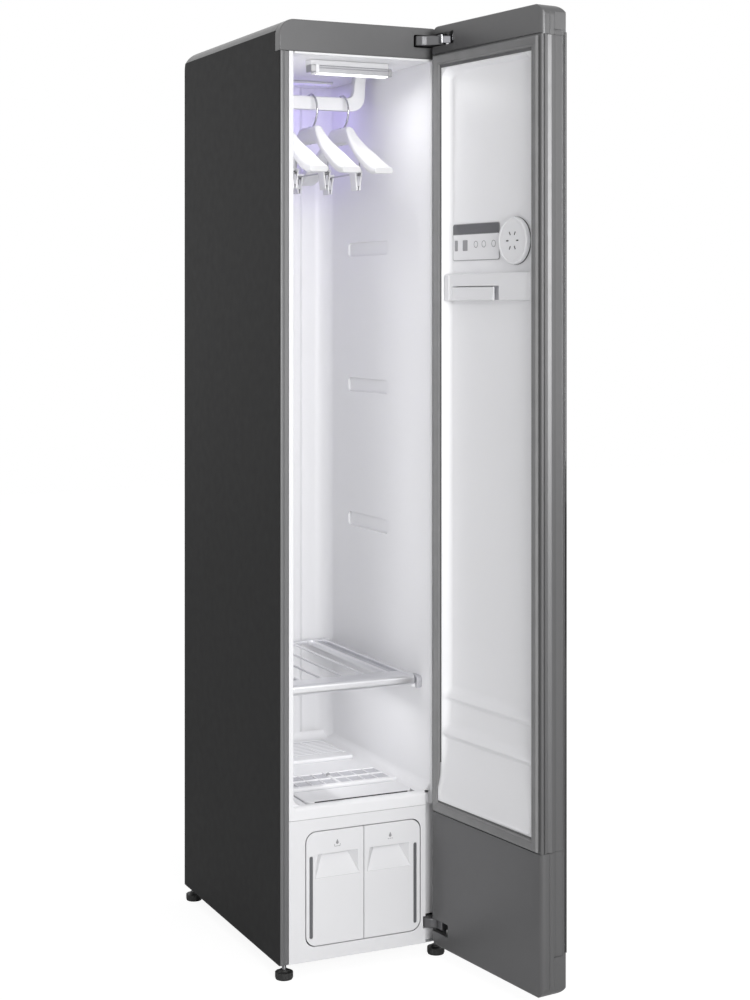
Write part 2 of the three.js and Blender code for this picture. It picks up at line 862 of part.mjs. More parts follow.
function hangerRail() {
  const y0 = RAIL_Y - RAIL_DEPTH / 2;
  const y1 = RAIL_Y + RAIL_DEPTH / 2;
  const outer = drawBack(
    rounded(
      -RAIL_HALF,
      RAIL_HALF,
      RAIL_BOTTOM,
      YOKE_Z + YOKE_THICKNESS,
      [RAIL_RADIUS, RAIL_RADIUS, 0, 0],
    ),
    y0,
    y1,
  );
  const inner = RAIL_RADIUS / 2;
  const opening = drawBack(
    rounded(
      -RAIL_HALF + RAIL_ARM,
      RAIL_HALF - RAIL_ARM,
      RAIL_BOTTOM + RAIL_HEIGHT,
      YOKE_Z + YOKE_THICKNESS + CUT,
      [inner, inner, 0, 0],
    ),
    y0 - CUT,
    y1 + CUT,
  );
  const yoke = box(
    -RAIL_HALF,
    YOKE_HALF,
    y0,
    y1,
    YOKE_Z,
    YOKE_Z + YOKE_THICKNESS,
  );
  return join(cut(outer, opening), yoke);
}

// Rail drive in the head of the cabinet
const CRANK_RADIUS = 18;
const CRANK_THICKNESS = 4;
const CRANK_PIN = 3;
const CRANK_CLEAR = 2;
const CRANK_PIN_LENGTH = 3;
const MOTOR_WIDTH = 70;
const MOTOR_DEPTH = 80;
const MOTOR_HEIGHT = 34;
const MOTOR_SHAFT = 4;
const CRANK_Z = YOKE_Z + YOKE_THICKNESS + CRANK_CLEAR + CRANK_PIN_LENGTH;

function crank() {
  const disc = cylinder(0, RAIL_Y, CRANK_Z, CRANK_Z + CRANK_THICKNESS, CRANK_RADIUS);
  const pin = cylinder(
    0,
    RAIL_Y - SHAKE,
    CRANK_Z - CRANK_PIN_LENGTH,
    CRANK_Z + CRANK_THICKNESS / 2,
    CRANK_PIN,
    12,
  );
  const bore = cylinder(
    0,
    RAIL_Y,
    CRANK_Z - CUT,
    CRANK_Z + CRANK_THICKNESS + CUT,
    MOTOR_SHAFT + FIT,
  );
  return cut(join(disc, pin), bore);
}

function shakerMotor() {
  const z0 = CRANK_Z + CRANK_THICKNESS + RUNNING;
  const body = box(
    -MOTOR_WIDTH / 2,
    MOTOR_WIDTH / 2,
    RAIL_Y - MOTOR_DEPTH / 2,
    RAIL_Y + MOTOR_DEPTH / 2,
    z0,
    z0 + MOTOR_HEIGHT,
  );
  const shaft = cylinder(0, RAIL_Y, CRANK_Z, z0 + CUT, MOTOR_SHAFT, 16);
  return join(body, shaft);
}

// Hangers: a wire hook, a moulded shoulder and a trouser bar with two clips
const HANGER_PITCH = 71;
const HANGER_SHIFT = 2;
const HOOK_RADIUS = 35;
const HOOK_WIRE = 2.2;
const HOOK_SHANK = 30;
const SHOULDER_CLEAR = 20;
const SHOULDER_HALF = CAVITY_BACK - DUCT_DEPTH - RAIL_Y - SHOULDER_CLEAR;
const COLLAR_HEIGHT = 34;
const COLLAR_WIDTH = 13;
const SHOULDER_WIDTH = 44;
const SHOULDER_DROP = 96;
const SHOULDER_THICK = 13;
const NECK_GAP = 5;
const CLIP_ROD = 1.6;
const CLIP_ROD_HALF = 94;
const CLIP_ROD_RISE = 28;
const CLIP_ROD_DROP = 100;
const CLIP_PLACE = 73;
const CLIP_LENGTH = 30;
const CLIP_HEIGHT = 40;
const CLIP_TOP_WIDTH = 18;
const CLIP_TIP_WIDTH = 9;
const CLIP_MOUTH = 7;
const CLIP_TOP_RISE = 6;

// A hook rides on the two upper edges of the rail's bar
const HOOK_SEAT = Math.sqrt((HOOK_RADIUS - HOOK_WIRE - FIT) ** 2 - (RAIL_DEPTH / 2) ** 2);
const HOOK_Z = RAIL_BOTTOM + RAIL_HEIGHT - HOOK_SEAT;
const COLLAR_TOP = HOOK_Z - HOOK_RADIUS - NECK_GAP;

function hook() {
  const points = [];
  const first = THREE.MathUtils.degToRad(-20);
  const last = THREE.MathUtils.degToRad(235);
  const count = 12;
  for (let i = 0; i <= count; i += 1) {
    const turn = first + ((last - first) * i) / count;
    points.push([0, HOOK_RADIUS * Math.cos(turn), HOOK_Z + HOOK_RADIUS * Math.sin(turn)]);
  }
  points.push([0, -HOOK_WIRE, HOOK_Z - HOOK_RADIUS]);
  points.push([0, 0, COLLAR_TOP + NECK_GAP / 2]);
  points.push([0, 0, COLLAR_TOP]);
  points.push([0, 0, COLLAR_TOP - HOOK_SHANK / 2]);
  points.push([0, 0, COLLAR_TOP - HOOK_SHANK]);
  return rod(points, HOOK_WIRE, 44, 8);
}

// Half width, top and bottom of the shoulder as shares of its length, width and drop
const SHOULDER_SHARES = [
  [0, 0, 0, 0.02],
  [0.19, 0.02, 0.0, 0.03],
  [0.23, 0.06, 0.05, 0.1],
  [0.3, 0.14, 0.19, 0.24],
  [0.45, 0.38, 0.36, 0.52],
  [0.62, 0.68, 0.56, 0.72],
  [0.8, 0.92, 0.78, 0.88],
  [0.94, 1, 0.94, 0.97],
  [1, 0.72, 1, 1],
];

function shoulder() {
  const half = SHOULDER_SHARES.map(([along, wide, top, bottom]) => ({
    y: along * SHOULDER_HALF,
    w: (COLLAR_WIDTH + wide * (SHOULDER_WIDTH - COLLAR_WIDTH)) / 2,
    top: COLLAR_TOP - top * SHOULDER_DROP,
    bottom:
      COLLAR_TOP -
      bottom * (SHOULDER_DROP - COLLAR_HEIGHT + SHOULDER_THICK) -
      COLLAR_HEIGHT,
  }));
  const stations = [
    ...half.slice(1).reverse().map((s) => ({ ...s, y: -s.y })),
    ...half,
  ];
  const rings = stations.map(({ y, w, top, bottom }) => {
    const edge = Math.min(w / 2, (top - bottom) / 4);
    return [
      [-w, y, bottom + edge],
      [-w + edge, y, bottom],
      [w - edge, y, bottom],
      [w, y, bottom + edge],
      [w, y, top - edge],
      [w - edge, y, top],
      [-w + edge, y, top],
      [-w, y, top - edge],
    ];
  });
  let body = skin(rings);
  if (body.volume() < 0) body = skin([...rings].reverse());
  const shank = cylinder(
    0,
    0,
    COLLAR_TOP - HOOK_SHANK - FIT,
    COLLAR_TOP + CUT,
    HOOK_WIRE + FIT,
    12,
  );
  return cut(body, shank);
}

function clip(y) {
  const z = COLLAR_TOP - CLIP_ROD_DROP;
  const top = CLIP_TOP_WIDTH / 2;
  const tip = CLIP_TIP_WIDTH / 2;
  const low = z - CLIP_HEIGHT;
  const mouth = CLIP_MOUTH / 2;
  const jaws = drawBack(
    outline([
      [-top, z + CLIP_TOP_RISE],
      [top, z + CLIP_TOP_RISE],
      [tip, low],
      [-tip, low],
    ]),
    y - CLIP_LENGTH / 2,
    y + CLIP_LENGTH / 2,
  );
  const gap = drawBack(
    outline([
      [-mouth, z - CLIP_TOP_RISE],
      [mouth, z - CLIP_TOP_RISE],
      [RUNNING / 2, low - CUT],
      [-RUNNING / 2, low - CUT],
    ]),
    y - CLIP_LENGTH,
    y + CLIP_LENGTH,
  );
  return cut(jaws, gap);
}

// The trouser bar's ends turn up and stop just under the shoulder's arms
function clipBar() {
  const z = COLLAR_TOP - CLIP_ROD_DROP;
  const bar = cylinderAlongY(0, z, -CLIP_ROD_HALF, CLIP_ROD_HALF, CLIP_ROD, 8);
  const ends = [-1, 1].map((sign) => {
    const y = sign * (CLIP_ROD_HALF - CLIP_ROD);
    return cylinder(0, y, z, z + CLIP_ROD_RISE, CLIP_ROD, 8);
  });
  return join(bar, ...ends, clip(-CLIP_PLACE), clip(CLIP_PLACE));
}

// Shelf
const SHELF_INSET = 12;
const SHELF_SETBACK = 30;
const SHELF_HALF = CAVITY_SIDE - SHELF_INSET;
const SHELF_FRONT = FRONT + SHELF_SETBACK;
const SHELF_LENGTH = LINER_DEPTH - SHELF_SETBACK - DUCT_DEPTH - 2 * RUNNING;
const SHELF_BAR = 9;
const SHELF_NOSE_HEIGHT = 16;
const SHELF_NOSE_DEPTH = 18;
const SHELF_NOSE_RADIUS = 7.5;
const SHELF_WIRES = 7;
const SHELF_WIRE = 5;
const SHELF_CROSS = 3;

function shelf() {
  const z0 = LEDGE_Z + LEDGE_HEIGHT + FIT;
  const z1 = z0 + SHELF_BAR;
  const y1 = SHELF_FRONT + SHELF_LENGTH;
  const tray = box(-SHELF_HALF, SHELF_HALF, SHELF_FRONT, y1, z0, z1);
  const holes = cells(
    -SHELF_HALF + SHELF_WIRE,
    SHELF_HALF - SHELF_WIRE,
    SHELF_FRONT + SHELF_NOSE_DEPTH,
    y1,
    SHELF_WIRES + 1,
    SHELF_CROSS,
    SHELF_WIRE,
    z0 - CUT,
    z1 + CUT,
  );
  const lead = box(
    -SHELF_HALF - CUT,
    SHELF_HALF + CUT,
    SHELF_FRONT - CUT,
    SHELF_FRONT + SHELF_NOSE_RADIUS,
    z0 - CUT,
    z1 + CUT,
  );
  const nose = drawRight(
    rounded(
      SHELF_FRONT,
      SHELF_FRONT + SHELF_NOSE_DEPTH,
      z1 - SHELF_NOSE_HEIGHT,
      z1,
      [SHELF_NOSE_RADIUS, 0, 0, SHELF_NOSE_RADIUS],
    ),
    -SHELF_HALF,
    SHELF_HALF,
  );
  return join(cut(tray, ...holes, lead), nose);
}

// Tank housing and tanks
const BAY_INSET = 53.5;
const BAY_HALF = SIDE - BAY_INSET;
const BAY_BOTTOM = 27;
const BAY_MARGIN = 24.5;
const BAY_HEIGHT = MODULE_HEIGHT - BAY_BOTTOM - BAY_MARGIN;
const BAY_RADIUS = 22;
const MACHINE_ROOM = 324;
const BAY_DEPTH = BODY_DEPTH - MACHINE_ROOM;
const BAY_DIVIDER = 2;
const TANK_FRONT_DEPTH = 24;
const TANK_GAP = 1.5;
const TANK_BODY_INSET = 4;
const TANK_END_GAP = 18;
const TANK_BODY_LENGTH = BAY_DEPTH - TANK_FRONT_DEPTH - TANK_END_GAP;
const TANK_WALL = 3;
const TANK_CAP_RADIUS = 22;
const TANK_CAP_HEIGHT = 8;
const TANK_CAP_ROOM = 10;
const TANK_BODY_HEIGHT = BAY_HEIGHT - 2 * TANK_BODY_INSET - TANK_CAP_HEIGHT - TANK_CAP_ROOM;
const TANK_MOUTH_RADIUS = 16;
const TANK_CAP_PLACE = 60;
const LEVEL_INSET = 12.5;
const LEVEL_PLACE = BAY_HALF - LEVEL_INSET;
const LEVEL_WIDTH = 7;
const LEVEL_RISE = 16;
const LEVEL_MARGIN = 48;
const LEVEL_LOW = BAY_BOTTOM + LEVEL_RISE;
const LEVEL_HEIGHT = BAY_HEIGHT - LEVEL_RISE - LEVEL_MARGIN;
const LEVEL_RECESS = 3;
const GRIP_INNER = 8;
const GRIP_MARGIN = 21.5;
const GRIP_WIDTH = BAY_HALF - GRIP_INNER - GRIP_MARGIN;
const GRIP_RISE = 133;
const GRIP_LOW = BAY_BOTTOM + GRIP_RISE;
const GRIP_HEIGHT = 45;
const GRIP_DEPTH = 20;
const GRIP_TAPER = 10;

// The face has a rounded opening, and the tray behind it is a plain box in two bays
function tankHousing() {
  const width = SIDE - STILE_WIDTH - FIT;
  const wall = MOULDED_WALL;
  const top = BAY_BOTTOM + BAY_HEIGHT;
  const y0 = FRONT + wall;
  const y1 = FRONT + BAY_DEPTH;
  const opening = drawBack(
    rounded(-BAY_HALF, BAY_HALF, BAY_BOTTOM, top, evenly(BAY_RADIUS)),
    FRONT - CUT,
    y0 + CUT,
  );
  const face = cut(box(-width, width, FRONT, y0, 0, MODULE_HEIGHT), opening);
  const tray = cut(
    box(
      -BAY_HALF - wall,
      BAY_HALF + wall,
      y0 - wall / 2,
      y1 + wall,
      BAY_BOTTOM - wall,
      top + wall,
    ),
    box(-BAY_HALF, BAY_HALF, FRONT - CUT, y1, BAY_BOTTOM, top),
  );
  const divider = box(
    -BAY_DIVIDER / 2,
    BAY_DIVIDER / 2,
    FRONT + TANK_FRONT_DEPTH + RUNNING,
    y1 + wall / 2,
    BAY_BOTTOM - wall / 2,
    top + wall / 2,
  );
  const arm = box(
    HINGE_LOWER_LEFT - HINGE_POCKET / 2,
    width + CUT,
    FRONT - CUT,
    FRONT + HINGE_REACH + CUT,
    HINGE_LOWER_Z - HINGE_POCKET,
    HINGE_LOWER_Z + HINGE_HEIGHT + HINGE_POCKET,
  );
  return cut(join(face, tray, divider), arm);
}

// A tank's front spans from the middle gap to the housing's side, sign says which side.
// Its finger pocket is a ramp that narrows as it deepens
function tankFront(sign) {
  const near = TANK_GAP / 2;
  const far = BAY_HALF - RUNNING;
  const z0 = BAY_BOTTOM + RUNNING;
  const z1 = BAY_BOTTOM + BAY_HEIGHT - RUNNING;
  const r = BAY_RADIUS - RUNNING;
  const radii = sign > 0 ? [0, r, r, 0] : [r, 0, 0, r];
  const x0 = sign > 0 ? near : -far;
  const x1 = sign > 0 ? far : -near;
  const plate = drawBack(
    rounded(x0, x1, z0, z1, radii),
    FRONT,
    FRONT + TANK_FRONT_DEPTH,
  );
  const level = LEVEL_WIDTH / 2;
  const slot = drawBack(
    rounded(
      sign * LEVEL_PLACE - level,
      sign * LEVEL_PLACE + level,
      LEVEL_LOW,
      LEVEL_LOW + LEVEL_HEIGHT,
      evenly(level),
    ),
    FRONT - CUT,
    FRONT + LEVEL_RECESS,
  );
  const inner = Math.min(sign * GRIP_INNER, sign * (GRIP_INNER + GRIP_WIDTH));
  const outer = inner + GRIP_WIDTH;
  const grip = skin([
    [
      [inner, FRONT - CUT, GRIP_LOW],
      [outer, FRONT - CUT, GRIP_LOW],
      [outer, FRONT, GRIP_LOW],
      [inner, FRONT, GRIP_LOW],
    ],
    [
      [inner, FRONT - CUT, GRIP_LOW + GRIP_HEIGHT],
      [outer, FRONT - CUT, GRIP_LOW + GRIP_HEIGHT],
      [outer - GRIP_TAPER, FRONT + GRIP_DEPTH, GRIP_LOW + GRIP_HEIGHT],
      [inner + GRIP_TAPER, FRONT + GRIP_DEPTH, GRIP_LOW + GRIP_HEIGHT],
    ],
  ]);
  return cut(plate, slot, grip);
}

function tankCentre(sign) {
  const near = TANK_GAP / 2;
  const far = BAY_HALF - RUNNING;
  return (sign * (near + far)) / 2;
}

const TANK_BODY_Y = FRONT + TANK_FRONT_DEPTH + FIT;
const TANK_BODY_Z = BAY_BOTTOM + TANK_BODY_INSET;

function tankBody(sign) {
  const x = tankCentre(sign);
  const half = (BAY_HALF - RUNNING - TANK_GAP / 2) / 2 - TANK_BODY_INSET;
  const y1 = TANK_BODY_Y + TANK_BODY_LENGTH;
  const z1 = TANK_BODY_Z + TANK_BODY_HEIGHT;
  const wall = TANK_WALL;
  const shape = rounded(x - half, x + half, TANK_BODY_Z, z1, evenly(BAY_RADIUS - TANK_BODY_INSET));
  const inner = rounded(
    x - half + wall,
    x + half - wall,
    TANK_BODY_Z + wall,
    z1 - wall,
    evenly(BAY_RADIUS - TANK_BODY_INSET - wall),
  );
  const mouth = cylinder(
    x,
    TANK_BODY_Y + TANK_CAP_PLACE,
    z1 - wall - CUT,
    z1 + CUT,
    TANK_MOUTH_RADIUS,
  );
  return cut(
    drawBack(shape, TANK_BODY_Y, y1),
    drawBack(inner, TANK_BODY_Y + wall, y1 - wall),
    mouth,
  );
}

function tankCap(sign) {
  const x = tankCentre(sign);
  const y = TANK_BODY_Y + TANK_CAP_PLACE;
  const z = TANK_BODY_Z + TANK_BODY_HEIGHT + FIT;
  const knob = cylinder(x, y, z, z + TANK_CAP_HEIGHT, TANK_CAP_RADIUS);
  const plug = cylinder(
    x,
    y,
    z - FIT - TANK_WALL,
    z + TANK_CAP_HEIGHT / 2,
    TANK_MOUTH_RADIUS - RUNNING,
  );
  return join(knob, plug);
}

// Steam and drying machinery behind the tanks
const MACHINE_GAP = 14;
const MACHINE_FRONT = FRONT + BAY_DEPTH + MACHINE_GAP;
const COMPRESSOR_INSET = 86;
const COMPRESSOR_SETBACK = 128;
const COMPRESSOR_X = -SIDE + COMPRESSOR_INSET;
const COMPRESSOR_Y = BACK - COMPRESSOR_SETBACK;
const COMPRESSOR_RADIUS = 54;
const COMPRESSOR_HEIGHT = 190;
const COMPRESSOR_LIFT = 14;
const COMPRESSOR_DOME = 26;
const COMPRESSOR_FOOT = 66;
const EXCHANGER_INSET = 12;
const EXCHANGER_WIDTH = 158;
const EXCHANGER_SETBACK = 66;
const EXCHANGER_DEPTH = 62;
const EXCHANGER_ROOM = 26;
const EXCHANGER_HEIGHT = 230;
const EXCHANGER_X1 = SIDE - EXCHANGER_INSET;
const EXCHANGER_X0 = EXCHANGER_X1 - EXCHANGER_WIDTH;
const EXCHANGER_Y1 = BACK - EXCHANGER_SETBACK;
const EXCHANGER_Y0 = EXCHANGER_Y1 - EXCHANGER_DEPTH;
const EXCHANGER_Z1 = CAVITY_FLOOR - LINER_WALL - EXCHANGER_ROOM;
const EXCHANGER_Z0 = EXCHANGER_Z1 - EXCHANGER_HEIGHT;
const EXCHANGER_FINS = 12;
const FIN_GAP = 9;
const FIN_DEPTH = 24;
const FAN_DROP = 80;
const FAN_GAP = 40;
const FAN_RADIUS = 62;
const FAN_LENGTH = 70;
const FAN_X = (EXCHANGER_X0 + EXCHANGER_X1) / 2;
const FAN_Z = EXCHANGER_Z1 - FAN_DROP;
const FAN_Y0 = EXCHANGER_Y0 - FAN_LENGTH - FAN_GAP;
const FAN_HUB = 16;
const FAN_WALL = 4;
const FAN_BLADES = 14;
const FAN_BLADE = 3;
const FAN_EYE = 44;
const GENERATOR_INSET = 18;
const GENERATOR_WIDTH = 120;
const GENERATOR_X0 = -SIDE + GENERATOR_INSET;
const GENERATOR_X1 = GENERATOR_X0 + GENERATOR_WIDTH;
const GENERATOR_LENGTH = 70;
const GENERATOR_HEIGHT = 110;
const GENERATOR_RADIUS = 20;
const CONTROL_WIDTH = 130;
const CONTROL_DEPTH = 30;
const CONTROL_HEIGHT = 90;
const CONTROL_Z = 25;

// A domed, hermetic can on a foot plate, turned about its own axis
function compressor() {
  const r = COMPRESSOR_RADIUS;
  const z0 = BASE_THICKNESS + FIT;
  const z1 = z0 + COMPRESSOR_LIFT;
  const dome = COMPRESSOR_DOME;
  const top = z1 + COMPRESSOR_HEIGHT;
  const half = Math.SQRT1_2;
  const profile = [
    [0, z0],
    [COMPRESSOR_FOOT, z0],
    [COMPRESSOR_FOOT, z0 + MOULDED_WALL],
    [r * half, z0 + MOULDED_WALL],
    [r, z1 + dome],
    [r, top - dome],
    [r * half, top - dome * (1 - half)],
    [0, top],
  ].map(([radius, z]) => new THREE.Vector2(radius, z));
  const geometry = new THREE.LatheGeometry(profile, 24);
  geometry.rotateX(Math.PI / 2);
  geometry.translate(COMPRESSOR_X, COMPRESSOR_Y, 0);
  const made = solid(geometry);
  return made.volume() < 0 ? solid(geometry.scale(-1, 1, 1)) : made;
}

function heatExchanger() {
  const block = box(
    EXCHANGER_X0,
    EXCHANGER_X1,
    EXCHANGER_Y0,
    EXCHANGER_Y1,
    EXCHANGER_Z0,
    EXCHANGER_Z1,
  );
  const gaps = [];
  const pitch = (EXCHANGER_Z1 - EXCHANGER_Z0) / EXCHANGER_FINS;
  for (let i = 0; i < EXCHANGER_FINS; i += 1) {
    const z = EXCHANGER_Z0 + (i + 0.5) * pitch - FIN_GAP / 2;
    gaps.push(
      box(
        EXCHANGER_X0 + FIN_GAP,
        EXCHANGER_X1 - FIN_GAP,
        EXCHANGER_Y0 - CUT,
        EXCHANGER_Y0 + FIN_DEPTH,
        z,
        z + FIN_GAP,
      ),
    );
  }
  return cut(block, ...gaps);
}

function fanHousing() {
  const r = FAN_RADIUS + RUNNING * 3;
  const w = FAN_WALL;
  const y1 = FAN_Y0 + FAN_LENGTH;
  const casing = drawBack(
    rounded(FAN_X - r - w, FAN_X + r + w, FAN_Z - r - w, FAN_Z + r + w, evenly(r / 2)),
    FAN_Y0,
    y1,
  );
  const drum = cylinderAlongY(FAN_X, FAN_Z, FAN_Y0 + w, y1 - w, r, 32);
  const eye = cylinderAlongY(FAN_X, FAN_Z, FAN_Y0 - CUT, FAN_Y0 + w + CUT, FAN_EYE, 32);
  const shaft = cylinderAlongY(FAN_X, FAN_Z, y1 - w - CUT, y1 + CUT, FAN_HUB / 2 + RUNNING);
  return cut(casing, drum, eye, shaft);
}

function fanImpeller() {
  const y0 = FAN_Y0 + FAN_WALL + RUNNING * 2;
  const y1 = FAN_Y0 + FAN_LENGTH - FAN_WALL - RUNNING * 2;
  const plate = cylinderAlongY(FAN_X, FAN_Z, y1 - FAN_WALL, y1, FAN_RADIUS, 28);
  const hub = cylinderAlongY(FAN_X, FAN_Z, y0 + FAN_WALL, y1 + FAN_WALL, FAN_HUB / 2, 16);
  const blades = [];
  for (let i = 0; i < FAN_BLADES; i += 1) {
    const turn = (2 * Math.PI * i) / FAN_BLADES;
    const geometry = new THREE.BoxGeometry(FAN_HUB, y1 - y0, FAN_BLADE);
    geometry.translate(FAN_RADIUS - FAN_HUB / 2 - FAN_BLADE, (y0 + y1) / 2, 0);
    geometry.rotateY(turn);
    geometry.translate(FAN_X, 0, FAN_Z);
    blades.push(solid(geometry));
  }
  return join(plate, hub, ...blades);
}

function steamGenerator() {
  const y0 = MACHINE_FRONT;
  const z0 = BASE_THICKNESS + FIT;
  const tank = drawBack(
    rounded(
      GENERATOR_X0,
      GENERATOR_X1,
      z0,
      z0 + GENERATOR_HEIGHT,
      [0, 0, GENERATOR_RADIUS, GENERATOR_RADIUS],
    ),
    y0,
    y0 + GENERATOR_LENGTH,
  );
  const spout = cylinder(
    (GENERATOR_X0 + GENERATOR_X1) / 2,
    y0 + GENERATOR_LENGTH / 2,
    z0 + GENERATOR_HEIGHT / 2,
    CAVITY_FLOOR - LINER_WALL - FIT,
    GENERATOR_RADIUS / 2,
    16,
  );
  return join(tank, spout);
}

function controlBox() {
  const x1 = EXCHANGER_X1;
  return box(
    x1 - CONTROL_WIDTH,
    x1,
    BACK - SHEET - FIT - CONTROL_DEPTH,
    BACK - SHEET - FIT,
    CONTROL_Z,
    CONTROL_Z + CONTROL_HEIGHT,
  );
}

// Door, modelled shut and then swung open about its pins
const DOOR_RADIUS = 22;
const DOOR_CAP_HEIGHT = 56;
const DOOR_FOOT_HEIGHT = 266;
const GLASS_THICKNESS = 4;
const GLASS_CAP_LAP = 50;
const GLASS_FOOT_LAP = 78;
const DOOR_EDGE = 4;
const SHELL_WALL = 3;
const GROOVE_NEAR = 31;
const GROOVE_WIDTH = 20;
const GROOVE_DEPTH = 14;
const PAN_MARGIN = 33;
const PAN_HEAD = 86;
const PAN_SILL = 27;
const PAN_RIM = 3;
const PAN_DEPTH = 20;
const PAN_WALL = 2;
const PAN_KNEE_RISE = 218;
const PAN_LIP = 7;
const RIDGE_COUNT = 2;
const RIDGE_HEIGHT = 22;
const RIDGE_RISE = 4;
const RIDGE_PITCH = 71;
const RIDGE_LIFT = 1;
const NOTCH_MARGIN = 8;
const NOTCH_LEFT = HINGE_UPPER_LEFT - NOTCH_MARGIN;
const NOTCH_CLEAR = 3;
const GASKET_INSET = 10;
const GASKET_WIDTH = 19;
const GASKET_RISE = 6;

const DOOR_BOTTOM = DOOR_LIFT;
const DOOR_TOP = BODY_HEIGHT;
const PAN_SIDE = SIDE - PAN_MARGIN;
const PAN_TOP = DOOR_TOP - PAN_HEAD;
const PAN_BOTTOM = DOOR_BOTTOM + DOOR_FOOT_HEIGHT + PAN_SILL;
const PAN_KNEE = PAN_BOTTOM + PAN_KNEE_RISE;
const door = new THREE.Group();
const swing = new THREE.Group();
swing.position.set(PIN_X, PIN_Y, 0);
swing.rotation.z = DOOR_OPEN_ANGLE;
door.position.set(-PIN_X, -PIN_Y, 0);
swing.add(door);
cabinet.add(swing);

const SHELL_BACK = DOOR_FRONT + GLASS_THICKNESS + FIT;

// The finger groove runs up the free edge of the door
function grooveTool(z0, z1) {
  return box(
    -SIDE - CUT,
    -SIDE + GROOVE_DEPTH,
    DOOR_INNER - GROOVE_NEAR - GROOVE_WIDTH,
    DOOR_INNER - GROOVE_NEAR,
    z0,
    z1,
  );
}

// Room for a hinge arm and its knuckle from the closed to the widest open door
function hingeNotch(z) {
  const notch = box(
    NOTCH_LEFT,
    SIDE + CUT,
    PIN_Y - HINGE_KNUCKLE - NOTCH_CLEAR,
    DOOR_INNER + CUT,
    z - NOTCH_CLEAR,
    z + HINGE_HEIGHT + NOTCH_CLEAR,
  );
  const bore = cylinder(
    PIN_X,
    PIN_Y,
    z - PIN_REACH - RUNNING,
    z + HINGE_HEIGHT + PIN_REACH + RUNNING,
    PIN_RADIUS + FIT * 2,
  );
  return join(notch, bore);
}

function doorShell() {
  const z0 = DOOR_BOTTOM + DOOR_FOOT_HEIGHT + FIT;
  const z1 = DOOR_TOP - DOOR_CAP_HEIGHT - FIT;
  const block = box(-SIDE, SIDE, SHELL_BACK, DOOR_INNER, z0, z1);
  const pan = box(
    -PAN_SIDE - PAN_WALL - FIT,
    PAN_SIDE + PAN_WALL + FIT,
    SHELL_BACK - CUT,
    DOOR_INNER + CUT,
    PAN_BOTTOM - PAN_WALL - FIT,
    PAN_TOP + PAN_WALL + FIT,
  );
  const hollow = box(
    -SIDE + GROOVE_DEPTH + SHELL_WALL,
    SIDE - SHELL_WALL,
    SHELL_BACK - CUT,
    DOOR_INNER - SHELL_WALL,
    z0 + SHELL_WALL,
    z1 - SHELL_WALL,
  );
  return cut(block, pan, hollow, grooveTool(z0 - CUT, z1 + CUT));
}

function doorGlass() {
  const z0 = DOOR_BOTTOM + GLASS_FOOT_LAP;
  const z1 = DOOR_TOP - GLASS_CAP_LAP;
  return box(-SIDE, SIDE, DOOR_FRONT, DOOR_FRONT + GLASS_THICKNESS, z0, z1);
}

// The cap's ends are rounded like the door's corners, and its front edge is softened
function doorCap() {
  const z0 = DOOR_TOP - DOOR_CAP_HEIGHT;
  const radii = [0, 0, DOOR_RADIUS, DOOR_RADIUS];
  const block = drawBack(rounded(-SIDE, SIDE, z0, DOOR_TOP, radii), DOOR_FRONT, DOOR_INNER);
  const soft = drawRight(
    rounded(DOOR_FRONT, DOOR_INNER, z0 - CUT, DOOR_TOP, [0, 0, DOOR_EDGE, DOOR_RADIUS]),
    -SIDE - CUT,
    SIDE + CUT,
  );
  const lap = box(
    -SIDE - CUT,
    SIDE + CUT,
    DOOR_FRONT - CUT,
    SHELL_BACK,
    z0 - CUT,
    DOOR_TOP - GLASS_CAP_LAP + FIT,
  );
  return cut(block.intersect(soft), lap, hingeNotch(HINGE_UPPER_Z));
}

function doorFoot() {
  const z0 = DOOR_BOTTOM;
  const z1 = DOOR_BOTTOM + DOOR_FOOT_HEIGHT;
  const radii = [DOOR_RADIUS, DOOR_RADIUS, 0, 0];
  const block = drawBack(rounded(-SIDE, SIDE, z0, z1, radii), DOOR_FRONT, DOOR_INNER);
  const soft = drawRight(
    rounded(DOOR_FRONT, DOOR_INNER, z0, z1 + CUT, [DOOR_RADIUS, DOOR_EDGE, 0, 0]),
    -SIDE - CUT,
    SIDE + CUT,
  );
  const lap = box(
    -SIDE - CUT,
    SIDE + CUT,
    DOOR_FRONT - CUT,
    SHELL_BACK,
    z0 + GLASS_FOOT_LAP - FIT,
    z1 + CUT,
  );
  const hollow = box(
    -SIDE + GROOVE_DEPTH + SHELL_WALL,
    NOTCH_LEFT - SHELL_WALL,
    SHELL_BACK - CUT,
    DOOR_INNER - SHELL_WALL,
    z0 + GLASS_FOOT_LAP,
    z1 - SHELL_WALL,
  );
  const groove = grooveTool(z0 + GLASS_FOOT_LAP, z1 + CUT);
  return cut(block.intersect(soft), lap, hollow, groove, hingeNotch(HINGE_LOWER_Z));
}

// The pan's floor slopes out below the knee to throw its drips into the cavity
function panProfile(shift, reach) {
  const floor = DOOR_INNER - PAN_DEPTH - shift;
  const lip = DOOR_INNER - PAN_LIP - shift;
  const low = PAN_BOTTOM - shift;
  const high = PAN_TOP + shift;
  return outline([
    [DOOR_INNER - PAN_RIM + reach, low],
    [DOOR_INNER - PAN_RIM + reach, high],
    [floor, high],
    [floor, PAN_KNEE],
    [lip, low],
  ]);
}

